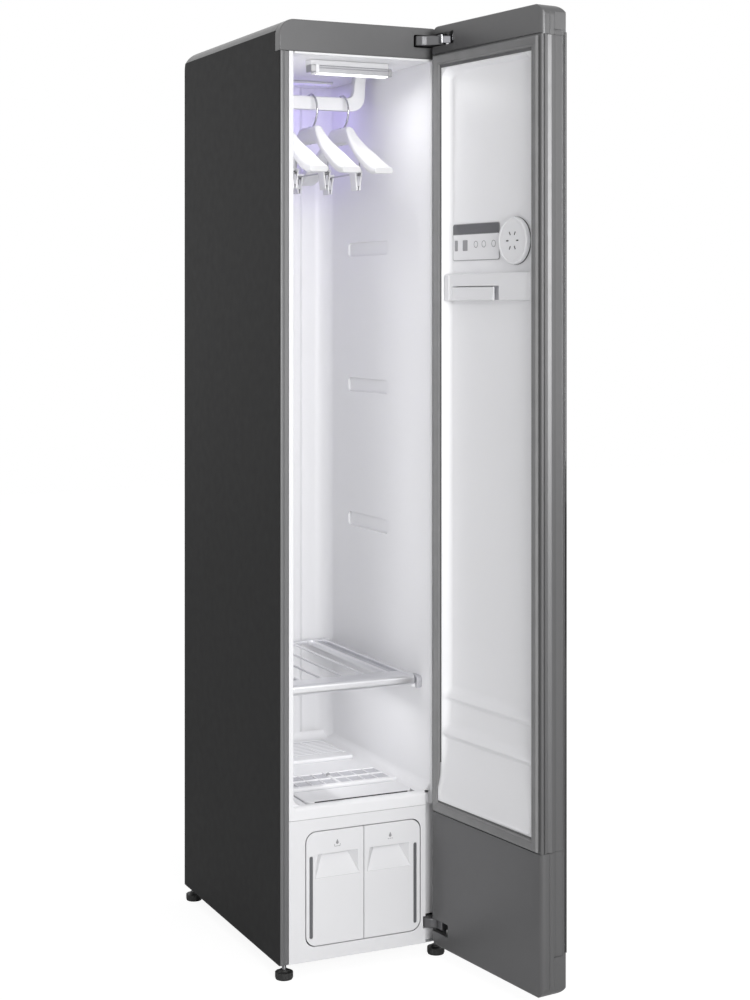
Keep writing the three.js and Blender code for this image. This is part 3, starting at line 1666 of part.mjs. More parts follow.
function doorLiner() {
  const outer = drawRight(panProfile(PAN_WALL, 0), -PAN_SIDE - PAN_WALL, PAN_SIDE + PAN_WALL);
  const inner = drawRight(panProfile(0, CUT), -PAN_SIDE, PAN_SIDE);
  const ridges = Array.from({ length: RIDGE_COUNT }, (_, i) => {
    const top = PAN_KNEE + RIDGE_LIFT - i * RIDGE_PITCH;
    const drop = Math.max(0, PAN_KNEE - top) / (PAN_KNEE - PAN_BOTTOM);
    const y = DOOR_INNER - PAN_DEPTH + drop * (PAN_DEPTH - PAN_LIP);
    return drawRight(
      outline([
        [y - PAN_WALL / 2, top],
        [y - PAN_WALL / 2, top - RIDGE_HEIGHT],
        [y + RIDGE_RISE, top - RIDGE_HEIGHT],
        [y + RIDGE_RISE / 2, top],
      ]),
      -PAN_SIDE - PAN_WALL / 2,
      PAN_SIDE + PAN_WALL / 2,
    );
  });
  return join(cut(outer, inner), ...ridges);
}

function doorGasket() {
  const x1 = SIDE - GASKET_INSET;
  const z0 = DOOR_BOTTOM + DOOR_FOOT_HEIGHT + SHELL_WALL;
  const z1 = DOOR_TOP - DOOR_CAP_HEIGHT - SHELL_WALL;
  const y0 = DOOR_INNER + FIT;
  const w = GASKET_WIDTH;
  const ring = box(-x1, x1, y0, y0 + GASKET_RISE, z0, z1);
  const window = box(
    -x1 + w,
    x1 - w,
    y0 - CUT,
    y0 + GASKET_RISE + CUT,
    z0 + w,
    z1 - w,
  );
  return cut(ring, window);
}

// Fittings in the door pan
const DISC_INSET = 68;
const DISC_X = -PAN_SIDE + DISC_INSET;
const DISC_RADIUS = 44.5;
const DISC_RISE = 8;
const RAIL_BLOCK_DROP = 457;
const RAIL_BLOCK_LOW = PAN_TOP - RAIL_BLOCK_DROP;
const RAIL_BLOCK_HEIGHT = 53;
const DISC_GAP = 14.5;
const DISC_Z = RAIL_BLOCK_LOW + RAIL_BLOCK_HEIGHT + DISC_GAP + DISC_RADIUS;
const RAIL_BLOCK_RISE = 14;
const RAIL_BLOCK_END = 4;
const FLAP_INSET = 109;
const FLAP_LENGTH = 151;
const FLAP_LEFT = -PAN_SIDE + FLAP_INSET;
const FLAP_RIGHT = FLAP_LEFT + FLAP_LENGTH;
const FLAP_HEIGHT = 26;
const FLAP_THICKNESS = 4;
const FLAP_POCKET = 9;
const PAN_FLOOR = DOOR_INNER - PAN_DEPTH;

function fragranceDisc() {
  const y0 = PAN_FLOOR + FIT;
  const disc = cylinderAlongY(DISC_X, DISC_Z, y0, y0 + DISC_RISE, DISC_RADIUS, 48);
  const grip = cylinderAlongY(
    DISC_X,
    DISC_Z,
    y0 + DISC_RISE - MOULDED_WALL / 2,
    y0 + DISC_RISE + CUT,
    DISC_RADIUS / 2,
    32,
  );
  return cut(disc, grip);
}

function trouserHolder() {
  const y0 = PAN_FLOOR + FIT;
  const y1 = y0 + RAIL_BLOCK_RISE;
  const z0 = RAIL_BLOCK_LOW;
  const side = PAN_SIDE - RAIL_BLOCK_END;
  const block = box(-side, side, y0, y1, z0, z0 + RAIL_BLOCK_HEIGHT);
  const pocket = box(
    FLAP_LEFT - RUNNING,
    FLAP_RIGHT + RUNNING,
    y1 - FLAP_POCKET,
    y1 + CUT,
    z0 - CUT,
    z0 + FLAP_HEIGHT + RUNNING * 2,
  );
  return cut(block, pocket);
}

function trouserFlap() {
  const y1 = PAN_FLOOR + FIT + RAIL_BLOCK_RISE;
  return drawRight(
    rounded(
      y1 - FLAP_THICKNESS,
      y1,
      RAIL_BLOCK_LOW,
      RAIL_BLOCK_LOW + FLAP_HEIGHT,
      evenly(FLAP_THICKNESS / 2 - FIT),
    ),
    FLAP_LEFT,
    FLAP_RIGHT,
    3,
  );
}

// The cabinet put together
place("left_side_panel", sidePanel(-1), graphite);
place("right_side_panel", sidePanel(1), graphite);
place("left_stile", stile(-1), grey);
place("right_stile", stile(1), grey);
place("top_cover", topCover(), grey);
place("head_fascia", headFascia(), grey);
place("back_panel", backPanel(), steel);
place("base_plate", basePlate(), steel);
place("power_inlet", powerInlet(), black);
place("upper_hinge", hinge(HINGE_UPPER_LEFT, HINGE_UPPER_Z), chrome);
place("lower_hinge", hinge(HINGE_LOWER_LEFT, HINGE_LOWER_Z), chrome);
place("liner_left", linerSide(-1), white);
place("liner_right", linerSide(1), white);
place("liner_back", linerBack(), white);
place("liner_ceiling", linerCeiling(), white);
place("liner_floor", linerFloor(), white);
place("steam_grille", steamGrille(), white);
place("air_grille", airGrille(), white);
place("lint_filter", lintFilter(), white);
place("ceiling_lamp", ceilingLamp(), diffuser);
place("uv_strip", uvStrip(), violet);
place("shelf", shelf(), silver);
place("tank_housing", tankHousing(), white);
place("shaker_motor", shakerMotor(), black);
place("rail_crank", crank(), steel);
place("hanger_rail", hangerRail(), white);
place("compressor", compressor(), black);
place("heat_exchanger", heatExchanger(), silver);
place("fan_housing", fanHousing(), black);
place("fan_impeller", fanImpeller(), white);
place("steam_generator", steamGenerator(), steel);
place("control_box", controlBox(), white);

for (const [name, x, y] of footPlaces()) {
  place(name, foot(), black).position.set(x, y, 0);
}

for (const [name, sign] of [
  ["supply", -1],
  ["drain", 1],
]) {
  place(`${name}_tank_front`, tankFront(sign), white);
  place(`${name}_tank_body`, tankBody(sign), clear);
  place(`${name}_tank_cap`, tankCap(sign), rubber);
}

for (const [i, name] of ["left", "middle", "right"].entries()) {
  const hanger = new THREE.Group();
  hanger.position.set(HANGER_SHIFT + (i - 1) * HANGER_PITCH, RAIL_Y, 0);
  cabinet.add(hanger);
  place(`hanger_${name}_hook`, hook(), chrome, hanger);
  place(`hanger_${name}_shoulder`, shoulder(), white, hanger);
  place(`hanger_${name}_clips`, clipBar(), white, hanger);
}

place("door_shell", doorShell(), grey, door);
place("door_glass", doorGlass(), tinted, door);
place("door_cap", doorCap(), grey, door);
place("door_foot", doorFoot(), grey, door);
place("door_liner", doorLiner(), white, door);
place("door_gasket", doorGasket(), rubber, door);
place("fragrance_disc", fragranceDisc(), white, door);
place("trouser_holder", trouserHolder(), white, door);
place("trouser_flap", trouserFlap(), white, door);

export default cabinet;
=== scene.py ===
"""Clothes care steam cabinet: the finishes and fine shapes round its fixed frame.

The cabinet's own frame has X right, Y back and Z up, with the origin at the centre of the
base plate's underside. Shapes are drawn in millimetres and become metres as objects. The
door's pieces are drawn with the door shut and then swung open.
"""

import json
import math

import bmesh
import bpy
from bpy.props import (FloatProperty, FloatVectorProperty, IntProperty, PointerProperty)
from mathutils import Matrix, Vector

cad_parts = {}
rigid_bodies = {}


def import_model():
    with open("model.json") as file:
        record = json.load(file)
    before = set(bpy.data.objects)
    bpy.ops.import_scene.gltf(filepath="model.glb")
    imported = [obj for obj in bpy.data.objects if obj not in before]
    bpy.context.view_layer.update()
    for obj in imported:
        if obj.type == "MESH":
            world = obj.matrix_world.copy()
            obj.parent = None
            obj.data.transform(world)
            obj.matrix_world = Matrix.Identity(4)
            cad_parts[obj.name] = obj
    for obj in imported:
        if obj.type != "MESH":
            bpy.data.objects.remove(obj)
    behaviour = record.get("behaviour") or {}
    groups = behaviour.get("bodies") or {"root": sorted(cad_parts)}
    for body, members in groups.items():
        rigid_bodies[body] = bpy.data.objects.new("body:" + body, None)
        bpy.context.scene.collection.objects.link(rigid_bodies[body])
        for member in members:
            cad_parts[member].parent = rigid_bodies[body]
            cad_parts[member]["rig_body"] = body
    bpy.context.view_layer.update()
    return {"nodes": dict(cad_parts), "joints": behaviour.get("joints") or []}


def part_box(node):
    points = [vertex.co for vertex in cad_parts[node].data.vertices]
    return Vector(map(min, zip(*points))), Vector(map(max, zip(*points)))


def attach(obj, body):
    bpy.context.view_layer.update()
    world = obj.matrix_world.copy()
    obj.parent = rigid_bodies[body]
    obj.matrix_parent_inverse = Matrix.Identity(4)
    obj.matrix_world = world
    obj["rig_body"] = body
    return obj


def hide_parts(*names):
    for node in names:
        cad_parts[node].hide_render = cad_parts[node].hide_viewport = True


bl_info = {
    "name": "Clothes care steam cabinet",
    "version": (1, 0, 0),
    "blender": (4, 5, 0),
    "location": "View3D > Sidebar > Cabinet",
    "description": "Builds a clothes care steam cabinet with its door open",
    "category": "Add Mesh",
}

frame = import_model()

MM = 0.001
WELD = 0.01 * MM
CUT = 5.0
SMOOTH_ANGLE = math.radians(32)
ARC_STEPS = 10


# The frame's own places


def reach(*nodes):
    """The lowest and highest corner of some nodes together, in millimetres."""
    boxes = [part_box(node) for node in nodes]
    low = Vector([min(box[0][i] for box in boxes) for i in range(3)])
    high = Vector([max(box[1][i] for box in boxes) for i in range(3)])
    return low / MM, high / MM


def door_swing():
    """The turn that takes the shut door to the place where it stands open."""
    hinge = next(j for j in frame["joints"] if j["name"] == "door_hinge")
    pin = Matrix.Translation(Vector(hinge["pos_m"]))
    opened = math.radians(-hinge["range_deg"][0])
    return pin @ Matrix.Rotation(opened, 4, "Z") @ pin.inverted()


SWING = door_swing()
SHUT = SWING.inverted()


def shut_reach(*nodes):
    """The corners of some of the door's nodes with the door shut, in millimetres."""
    spots = [SHUT @ v.co for node in nodes for v in frame["nodes"][node].data.vertices]
    low = Vector([min(spot[i] for spot in spots) for i in range(3)])
    high = Vector([max(spot[i] for spot in spots) for i in range(3)])
    return low / MM, high / MM


BODY_LOW, BODY_HIGH = reach("left_side_panel", "right_side_panel", "top_cover", "head_fascia")
DOOR_LOW, DOOR_HIGH = shut_reach("door_glass", "door_cap", "door_foot")
SIDE = BODY_HIGH.x
FRONT = BODY_LOW.y
BACK = BODY_HIGH.y
TOP = BODY_HIGH.z
HEAD_BOTTOM = reach("head_fascia")[0].z
CAVITY_SIDE = 147.0
CAVITY_BACK = 238.0
DUCT_FRONT = 230.0
RAIL_LOW, RAIL_HIGH = reach("hanger_rail")
DOOR_INNER = DOOR_HIGH.y
DOOR_FRONT = DOOR_LOW.y


# Sizes and colours that a user would change


def tint(name, description, default):
    """A colour that a user can change."""
    return FloatVectorProperty(name=name, description=description, subtype="COLOR", default=default)


def size(name, description, default):
    """A size in millimetres that a user can change."""
    return FloatProperty(name=name, description=description, default=default)


def power(name, description, default):
    """A lamp's power that a user can change."""
    return FloatProperty(name=name, description=description, unit="POWER", default=default)


class FinishColours(bpy.types.PropertyGroup):
    """The colours of the cabinet's finishes."""

    side: tint("Side", "Powder coat of the side panels", (0.025, 0.025, 0.0255))
    trim: tint("Trim", "Satin metallic paint of the stiles", (0.165, 0.165, 0.168))
    head: tint("Head", "Satin metallic paint of the fascia and the top", (0.12, 0.12, 0.122))
    door: tint("Door frame", "Satin metallic paint of the door's frame", (0.125, 0.125, 0.127))
    lining: tint("Lining", "White moulded lining", (0.82, 0.82, 0.835))


class CavitySettings(bpy.types.PropertyGroup):
    """The sizes of the lining and what stands in it."""

    corner: size("Corner", "Radius of the lining's back corners", 36.0)
    cove: size("Cove", "Radius between the walls and the floor", 18.0)
    slats: IntProperty(name="Slats", description="Slats of the air grille", default=9)
    wires: IntProperty(name="Wires", description="Wires of the shelf", default=3)


class DoorSettings(bpy.types.PropertyGroup):
    """The sizes of the door's inner pan."""

    pan_corner: size("Pan corner", "Radius of the pan's corners", 24.0)
    pan_draft: size("Pan draft", "Width of the pan's sloping walls", 7.0)
    flare: size("Flare", "How far the pan's lower end spreads", 10.0)


class StageSettings(bpy.types.PropertyGroup):
    """The camera and the lamps."""

    camera_place: FloatVectorProperty(
        name="Camera",
        description="Where the photograph's camera stands",
        subtype="TRANSLATION",
        unit="LENGTH",
        default=(-1.5003, -3.5467, 1.2663),
    )
    camera_yaw: FloatProperty(
        name="Yaw",
        description="How far the camera looks to the right of straight ahead",
        subtype="ANGLE",
        default=math.radians(25.0),
    )
    camera_lens: size("Lens", "Focal length in millimetres", 66.03)
    camera_shift: FloatProperty(
        name="Shift",
        description="Vertical shift, as a share of the picture's longer side",
        default=-0.1928,
    )
    key_power: power("Key", "Power of the large front lamp", 94.0)
    fill_power: power("Fill", "Power of the side lamp", 22.0)
    cavity_power: power("Cavity lamp", "Power of the ceiling lamp", 0.33)
    wash_power: power("Wash", "Power of the lamp before the cavity", 0.28)
    glow_power: power("Glow", "Power of the soft light within", 0.62)
    violet_power: power("Violet lamp", "Power of the violet strip", 0.17)


# Outlines and solids


def fillet(corners, steps=ARC_STEPS):
    """A closed outline with each corner (a, b, radius) rounded."""
    points = []
    for i, (a, b, radius) in enumerate(corners):
        here = Vector((a, b))
        if radius <= 0:
            points.append(here)
            continue
        before = (Vector(corners[i - 1][:2]) - here).normalized()
        after = (Vector(corners[(i + 1) % len(corners)][:2]) - here).normalized()
        half = before.angle(after) / 2
        centre = here + (before + after).normalized() * radius / math.sin(half)
        start = here + before * radius / math.tan(half) - centre
        end = here + after * radius / math.tan(half) - centre
        first = math.atan2(start.y, start.x)
        turn = math.atan2(end.y, end.x) - first
        turn = (turn + math.pi) % (2 * math.pi) - math.pi
        for k in range(steps + 1):
            angle = first + turn * k / steps
            points.append(centre + radius * Vector((math.cos(angle), math.sin(angle))))
    return points


def rectangle(low_a, high_a, low_b, high_b, radius=0.0, steps=ARC_STEPS):
    """A rectangle, with one radius or four, from the lower left corner anticlockwise."""
    radii = radius if isinstance(radius, (tuple, list)) else [radius] * 4
    spots = [(low_a, low_b), (high_a, low_b), (high_a, high_b), (low_a, high_b)]
    return fillet([(a, b, r) for (a, b), r in zip(spots, radii)], steps)


def circle(a, b, radius, steps=32):
    """A round outline."""
    turns = [2 * math.pi * k / steps for k in range(steps)]
    return [Vector((a + radius * math.cos(t), b + radius * math.sin(t))) for t in turns]


def bent_path(corners, steps=8):
    """A path through (x, y, z, radius) corners, each one but the ends rounded."""
    points = [Vector(corners[0][:3])]
    for before, corner, after in zip(corners, corners[1:], corners[2:]):
        here, radius = Vector(corner[:3]), corner[3]
        back = (Vector(before[:3]) - here).normalized()
        on = (Vector(after[:3]) - here).normalized()
        half = back.angle(on) / 2
        centre = here + (back + on).normalized() * radius / math.sin(half)
        start = (here + back * radius / math.tan(half) - centre).normalized()
        end = (here + on * radius / math.tan(half) - centre).normalized()
        points += [centre + start.slerp(end, k / steps) * radius for k in range(steps + 1)]
    return points + [Vector(corners[-1][:3])]


def spot(axis, a, b, along):
    """A point of an outline that is drawn across the named axis."""
    if axis == "x":
        return (along, a, b)
    if axis == "y":
        return (a, along, b)
    return (a, b, along)


def skin(mesh, rings, caps=True):
    """Faces between rings of as many points, with both ends closed."""
    rows = [[mesh.verts.new(point) for point in ring] for ring in rings]
    for low, high in zip(rows, rows[1:]):
        for i in range(len(low)):
            j = (i + 1) % len(low)
            mesh.faces.new((low[i], low[j], high[j], high[i]))
    if caps:
        mesh.faces.new(rows[0][::-1])
        mesh.faces.new(rows[-1])


def looped(rings):
    """A new mesh over rings of which the last joins the first."""
    mesh = bmesh.new()
    skin(mesh, rings + rings[:1], caps=False)
    bmesh.ops.remove_doubles(mesh, verts=mesh.verts, dist=WELD)
    return mesh


def prism(mesh, outline, axis, low, high):
    """An outline drawn out along an axis."""
    skin(mesh, [[spot(axis, p[0], p[1], along) for p in outline] for along in (low, high)])


def turns(profile, axis, a, b, steps):
    """The circles of a (radius, place along the axis) profile turned through a and b."""
    return [[spot(axis, *p, along) for p in circle(a, b, r, steps)] for r, along in profile]


def turned(profile, axis, a, b, steps=48):
    """A new mesh of a profile turned through a and b."""
    mesh = bmesh.new()
    skin(mesh, turns(profile, axis, a, b, steps))
    return mesh


def solid(*parts):
    """A new mesh of prisms, each given as (outline, axis, low, high)."""
    mesh = bmesh.new()
    for outline, axis, low, high in parts:
        prism(mesh, outline, axis, low, high)
    return mesh


def block(x0, x1, y0, y1, z0, z1, radius=0.0, axis="z"):
    """A new mesh of one bar whose section across the axis has round corners."""
    spans = {"x": (x0, x1), "y": (y0, y1), "z": (z0, z1)}
    low, high = spans.pop(axis)
    (a0, a1), (b0, b1) = spans.values()
    return solid((rectangle(a0, a1, b0, b1, radius), axis, low, high))


def relief_sheet(across, up, height, thickness):
    """A new closed sheet over lines across X and up Z, at the depth that height gives."""
    mesh = bmesh.new()
    sides = []
    for shift in (0.0, -thickness):
        sides.append([[mesh.verts.new((x, height(x, z) + shift, z)) for x in across] for z in up])
    for side in sides:
        for low, high in zip(side, side[1:]):
            for i in range(len(across) - 1):
                mesh.faces.new((low[i], low[i + 1], high[i + 1], high[i]))
    near, far = sides
    edges = [
        (near[0], far[0]),
        (near[-1], far[-1]),
        ([row[0] for row in near], [row[0] for row in far]),
        ([row[-1] for row in near], [row[-1] for row in far]),
    ]
    for first, second in edges:
        for i in range(len(first) - 1):
            mesh.faces.new((first[i], first[i + 1], second[i + 1], second[i]))
    return mesh


# Pieces


def evaluated_mesh(obj):
    """The object's mesh with its modifiers carried out."""
    bpy.context.view_layer.update()
    graph = bpy.context.evaluated_depsgraph_get()
    return bpy.data.meshes.new_from_object(obj.evaluated_get(graph))


def loose_object(name, mesh, scale=MM):
    """An object for a mesh that no body carries yet."""
    bmesh.ops.recalc_face_normals(mesh, faces=mesh.faces)
    bmesh.ops.scale(mesh, vec=(scale, scale, scale), verts=mesh.verts)
    data = bpy.data.meshes.new(name)
    mesh.to_mesh(data)
    mesh.free()
    obj = bpy.data.objects.new(name, data)
    bpy.context.scene.collection.objects.link(obj)
    return obj


def slab(name, *spans, **shape):
    """An object of one bar, as block draws it."""
    return loose_object(name, block(*spans, **shape))


def drawn(name, outline, axis, low, high):
    """An object of one outline drawn out along an axis."""
    return loose_object(name, solid((outline, axis, low, high)))


def lathed(name, *profile):
    """An object of one profile, as turned draws it."""
    return loose_object(name, turned(*profile))


def halfway(low, high):
    """The place halfway between two corners."""
    return [(a + b) / 2 for a, b in zip(low, high)]


def settle(obj):
    """Carries out the object's modifiers for good."""
    data = evaluated_mesh(obj)
    obj.modifiers.clear()
    old = obj.data
    obj.data = data
    bpy.data.meshes.remove(old)
    return obj


def shaped(obj, operation, tools):
    """Cuts, joins or trims an object with closed meshes."""
    for mesh in tools:
        tool = loose_object(obj.name + "_tool", mesh)
        modifier = obj.modifiers.new("shaped", "BOOLEAN")
        modifier.operation = operation
        modifier.solver = "EXACT"
        modifier.object = tool
        settle(obj)
        bpy.data.objects.remove(tool)
    return obj


def carve(obj, *cutters):
    """Cuts closed meshes out of an object."""
    return shaped(obj, "DIFFERENCE", cutters)


def trimmed(obj, *others):
    """Keeps what an object shares with closed meshes."""
    return shaped(obj, "INTERSECT", others)


def gather(first, *others):
    """Makes one object of several."""
    mesh = bmesh.new()
    for obj in (first, *others):
        mesh.from_mesh(obj.data)
    mesh.to_mesh(first.data)
    mesh.free()
    for obj in others:
        bpy.data.objects.remove(obj)
    return first


def soften(obj, width, segments=2):
    """Rounds the object's sharp edges by a width in metres."""
    modifier = obj.modifiers.new("soft_edges", "BEVEL")
    modifier.width = width
    modifier.segments = segments
    modifier.limit_method = "ANGLE"
    modifier.angle_limit = SMOOTH_ANGLE
    modifier.miter_outer = "MITER_ARC"
    return obj


def place(obj, carrier, finish, slot, replaces=(), bevel=0.0, segments=2, shut=False):
    """Gives a finished shape its material, its smooth faces and the body of a node."""
    if shut:
        obj.data.transform(SWING)
    obj.data.materials.clear()
    obj.data.materials.append(bpy.data.materials[finish])
    obj.data.polygons.foreach_set("use_smooth", [True] * len(obj.data.polygons))
    obj.data.set_sharp_from_angle(angle=SMOOTH_ANGLE)
    if bevel:
        soften(obj, bevel * MM, segments)
    flats = obj.modifiers.new("flat_faces", "WEIGHTED_NORMAL")
    flats.keep_sharp = True
    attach(obj, frame["nodes"][carrier]["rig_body"])
    if replaces:
        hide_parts(*replaces)
    return obj


def stand_in(obj, node, finish, slot, bevel=0.0, segments=2, shut=False):
    """Places a shape that stands for one node."""
    return place(obj, node, finish, slot, (node,), bevel, segments, shut)


def dress(node, finish, slot, bevel, segments=2):
    """A copy of a node with its edges softened, standing for the node."""
    mesh = bmesh.new()
    mesh.from_mesh(frame["nodes"][node].data)
    bmesh.ops.remove_doubles(mesh, verts=mesh.verts, dist=WELD)
    bmesh.ops.dissolve_limit(mesh, angle_limit=math.radians(1), verts=mesh.verts, edges=mesh.edges)
    obj = loose_object(node + "_shape", mesh, 1.0)
    return stand_in(obj, node, finish, slot, bevel, segments)


# Geometry Nodes trees


def add_node(tree, kind, settings=None, inputs=None):
    """A new node with its settings and its linked or plain inputs."""
    node = tree.nodes.new(kind)
    for key, value in (settings or {}).items():
        setattr(node, key, value)
    for key, value in (inputs or {}).items():
        if isinstance(value, bpy.types.NodeSocket):
            tree.links.new(value, node.inputs[key])
        else:
            node.inputs[key].default_value = value
    return node


class Tree:
    """A Geometry Nodes tree with named inputs, which ends in one finished mesh."""

    def __init__(self, name, **inputs):
        self.tree = bpy.data.node_groups.new(name, "GeometryNodeTree")
        self.tree.is_modifier = True
        for key, kind in {"Geometry": "Geometry", **inputs, "Finish": "Material"}.items():
            self.tree.interface.new_socket(key, in_out="INPUT", socket_type="NodeSocket" + kind)
        self.tree.interface.new_socket(
            "Geometry", in_out="OUTPUT", socket_type="NodeSocketGeometry"
        )
        self.given = self.tree.nodes.new("NodeGroupInput").outputs

    def node(self, kind, settings=None, inputs=None):
        return add_node(self.tree, kind, settings, inputs).outputs[0]

    def line(self, step):
        """As many points as the count says, each one step further on."""
        inputs = {"Count": self.given["Count"], "Offset": step}
        return self.node("GeometryNodeMeshLine", {"mode": "OFFSET"}, inputs)

    def copies(self, points, **more):
        """The given shape on each of the points."""
        shape = add_node(self.tree, "GeometryNodeObjectInfo", {}, {"Object": self.given["Shape"]})
        inputs = {"Points": points, "Instance": shape.outputs["Geometry"], **more}
        return self.node("GeometryNodeInstanceOnPoints", {}, inputs)

    def end(self, geometry):
        real = self.node("GeometryNodeRealizeInstances", {}, {0: geometry})
        inputs = {"Geometry": real, "Material": self.given["Finish"]}
        done = self.node("GeometryNodeSetMaterial", {}, inputs)
        add_node(self.tree, "NodeGroupOutput", {}, {0: done})


def row_tree():
    """Copies of a shape in a straight row."""
    t = Tree("row_of_copies", Shape="Object", Count="Int", Step="Vector")
    t.end(t.copies(t.line(t.given["Step"])))


def ring_tree():
    """Copies of a shape in a ring round the Z axis, tilted and then moved to its place."""
    t = Tree("ring_of_copies", Shape="Object", Count="Int", Tilt="Vector", Place="Vector")
    number = t.node("GeometryNodeInputIndex")
    share = t.node("ShaderNodeMath", {"operation": "DIVIDE"}, {0: number, 1: t.given["Count"]})
    angle = t.node("ShaderNodeMath", {"operation": "MULTIPLY"}, {0: share, 1: 2 * math.pi})
    turn = t.node("ShaderNodeCombineXYZ", {}, {"Z": angle})
    copies = t.copies(t.line((0, 0, 0)), Rotation=turn)
    real = t.node("GeometryNodeRealizeInstances", {}, {0: copies})
    inputs = {"Geometry": real, "Translation": t.given["Place"], "Rotation": t.given["Tilt"]}
    t.end(t.node("GeometryNodeTransform", {}, inputs))


def wire_tree():
    """A round wire along a path."""
    t = Tree("wire_along_path", Radius="Float", Sides="Int")
    path = t.node("GeometryNodeMeshToCurve", {}, {"Mesh": t.given["Geometry"]})
    inputs = {"Resolution": t.given["Sides"], "Radius": t.given["Radius"]}
    section = t.node("GeometryNodeCurvePrimitiveCircle", {}, inputs)
    inputs = {"Curve": path, "Profile Curve": section, "Fill Caps": True}
    t.end(t.node("GeometryNodeCurveToMesh", {}, inputs))


def grown(name, tree, start, **values):
    """The plain mesh object that a tree makes with these values."""
    obj = bpy.data.objects.new(name, start or bpy.data.meshes.new(name))
    bpy.context.scene.collection.objects.link(obj)
    modifier = obj.modifiers.new("shape", "NODES")
    modifier.node_group = bpy.data.node_groups[tree]
    for item in modifier.node_group.interface.items_tree:
        if item.in_out == "INPUT" and item.name in values:
            modifier[item.identifier] = values[item.name]
    return settle(obj)


def copied(name, tree, mesh, count, **values):
    """Copies of a closed mesh that a tree sets out, as one object."""
    shape = loose_object(name + "_one", mesh)
    made = grown(name, tree, None, Shape=shape, Count=count, **values)
    bpy.data.objects.remove(shape)
    return made


def row(name, mesh, count, step):
    """Copies of a closed mesh in a row."""
    return copied(name, "row_of_copies", mesh, count, Step=Vector(step) * MM)


def ring(name, mesh, count, centre, tilt=(0, 0, 0)):
    """Copies of a closed mesh in a ring."""
    spots = {"Tilt": Vector(tilt), "Place": Vector(centre) * MM}
    return copied(name, "ring_of_copies", mesh, count, **spots)


def wire(name, path, radius, sides=12):
    """A wire along a path, as one object."""
    mesh = bmesh.new()
    verts = [mesh.verts.new(Vector(point) * MM) for point in path]
    for first, second in zip(verts, verts[1:]):
        mesh.edges.new((first, second))
    data = bpy.data.meshes.new(name)
    mesh.to_mesh(data)
    mesh.free()
    return grown(name, "wire_along_path", data, Radius=radius * MM, Sides=sides)


class CABINET_OT_trees(bpy.types.Operator):
    """Makes the trees for rows, rings and wires."""

    bl_idname = "cabinet.trees"
    bl_label = "Rows, rings and wires"

    def execute(self, context):
        row_tree()
        ring_tree()
        wire_tree()
        return {"FINISHED"}


# Shader sums


def empty_tree(owner):
    """The cleared shader nodes of a material or world."""
    owner.use_nodes = True
    owner.node_tree.nodes.clear()
    return owner.node_tree


class Value:
    """A shader value that takes part in sums."""

    def __init__(self, finish, socket):
        self.finish = finish
        self.socket = socket

    def sum(self, operation, first, second):
        settings = {"operation": operation}
        node = self.finish.node("ShaderNodeMath", settings, {0: first, 1: second})
        return Value(self.finish, node.outputs[0])

    def __add__(self, other):
        return self.sum("ADD", self, other)

    __radd__ = __add__

    def __mul__(self, other):
        return self.sum("MULTIPLY", self, other)

    __rmul__ = __mul__

    def clipped(self):
        node = self.finish.node("ShaderNodeClamp", {}, {"Value": self})
        return Value(self.finish, node.outputs[0])


class Finish:
    """One material and its nodes."""

    def __init__(self, name):
        self.tree = empty_tree(bpy.data.materials.new(name))
        self.spots = self.node("ShaderNodeTexCoord").outputs["Object"]

    def node(self, kind, settings=None, inputs=None):
        pairs = (inputs or {}).items()
        plain = {key: value.socket if isinstance(value, Value) else value for key, value in pairs}
        return add_node(self.tree, kind, settings, plain)

    def noise(self, scale, detail=2.0, stretch=(1, 1, 1)):
        inputs = {"Vector": self.spots, "Scale": stretch}
        spots = self.node("ShaderNodeMapping", {}, inputs).outputs[0]
        inputs = {"Vector": spots, "Scale": scale, "Detail": detail}
        return Value(self, self.node("ShaderNodeTexNoise", {}, inputs).outputs["Fac"])

    def cells(self, scale, output="Distance"):
        inputs = {"Vector": self.spots, "Scale": scale}
        return Value(self, self.node("ShaderNodeTexVoronoi", {}, inputs).outputs[output])

    def ramp(self, value, *stops):
        """A value spread between two (position, shade) stops."""
        node = self.node("ShaderNodeValToRGB", {}, {"Fac": value})
        for element, (position, shade) in zip(node.color_ramp.elements, stops):
            element.position = position
            element.color = (shade, shade, shade, 1)
        return Value(self, node.outputs[0])

    def shades(self, mask, colour, lighter, darker):
        """One colour that varies between two shares of itself."""
        low = tuple(c * darker for c in colour) + (1,)
        high = tuple(min(1, c * lighter) for c in colour) + (1,)
        node = self.node("ShaderNodeMix", {"data_type": "RGBA"}, {0: mask, 6: low, 7: high})
        return Value(self, node.outputs[2])

    def relief(self, height, depth, strength):
        """Bumps of a depth in metres."""
        inputs = {"Height": height, "Distance": depth, "Strength": strength}
        return Value(self, self.node("ShaderNodeBump", {}, inputs).outputs[0])

    def done(self, **inputs):
        named = {key.replace("_", " "): value for key, value in inputs.items()}
        shader = self.node("ShaderNodeBsdfPrincipled", {}, named)
        self.node("ShaderNodeOutputMaterial", {}, {"Surface": shader.outputs[0]})


def powder_coat(name, colour, grain=2600, roughness=0.52):
    """Sprayed powder with a fine peel."""
    f = Finish(name)
    peel = f.noise(grain, 3)
    cloud = f.noise(3.5, 2)
    f.done(
        Base_Color=f.shades(cloud, colour, 1.08, 0.92),
        Roughness=roughness - 0.06 + 0.12 * f.noise(45, 4),
        Normal=f.relief(peel, 0.05 * MM, 0.35),
        Specular_IOR_Level=0.08,
    )


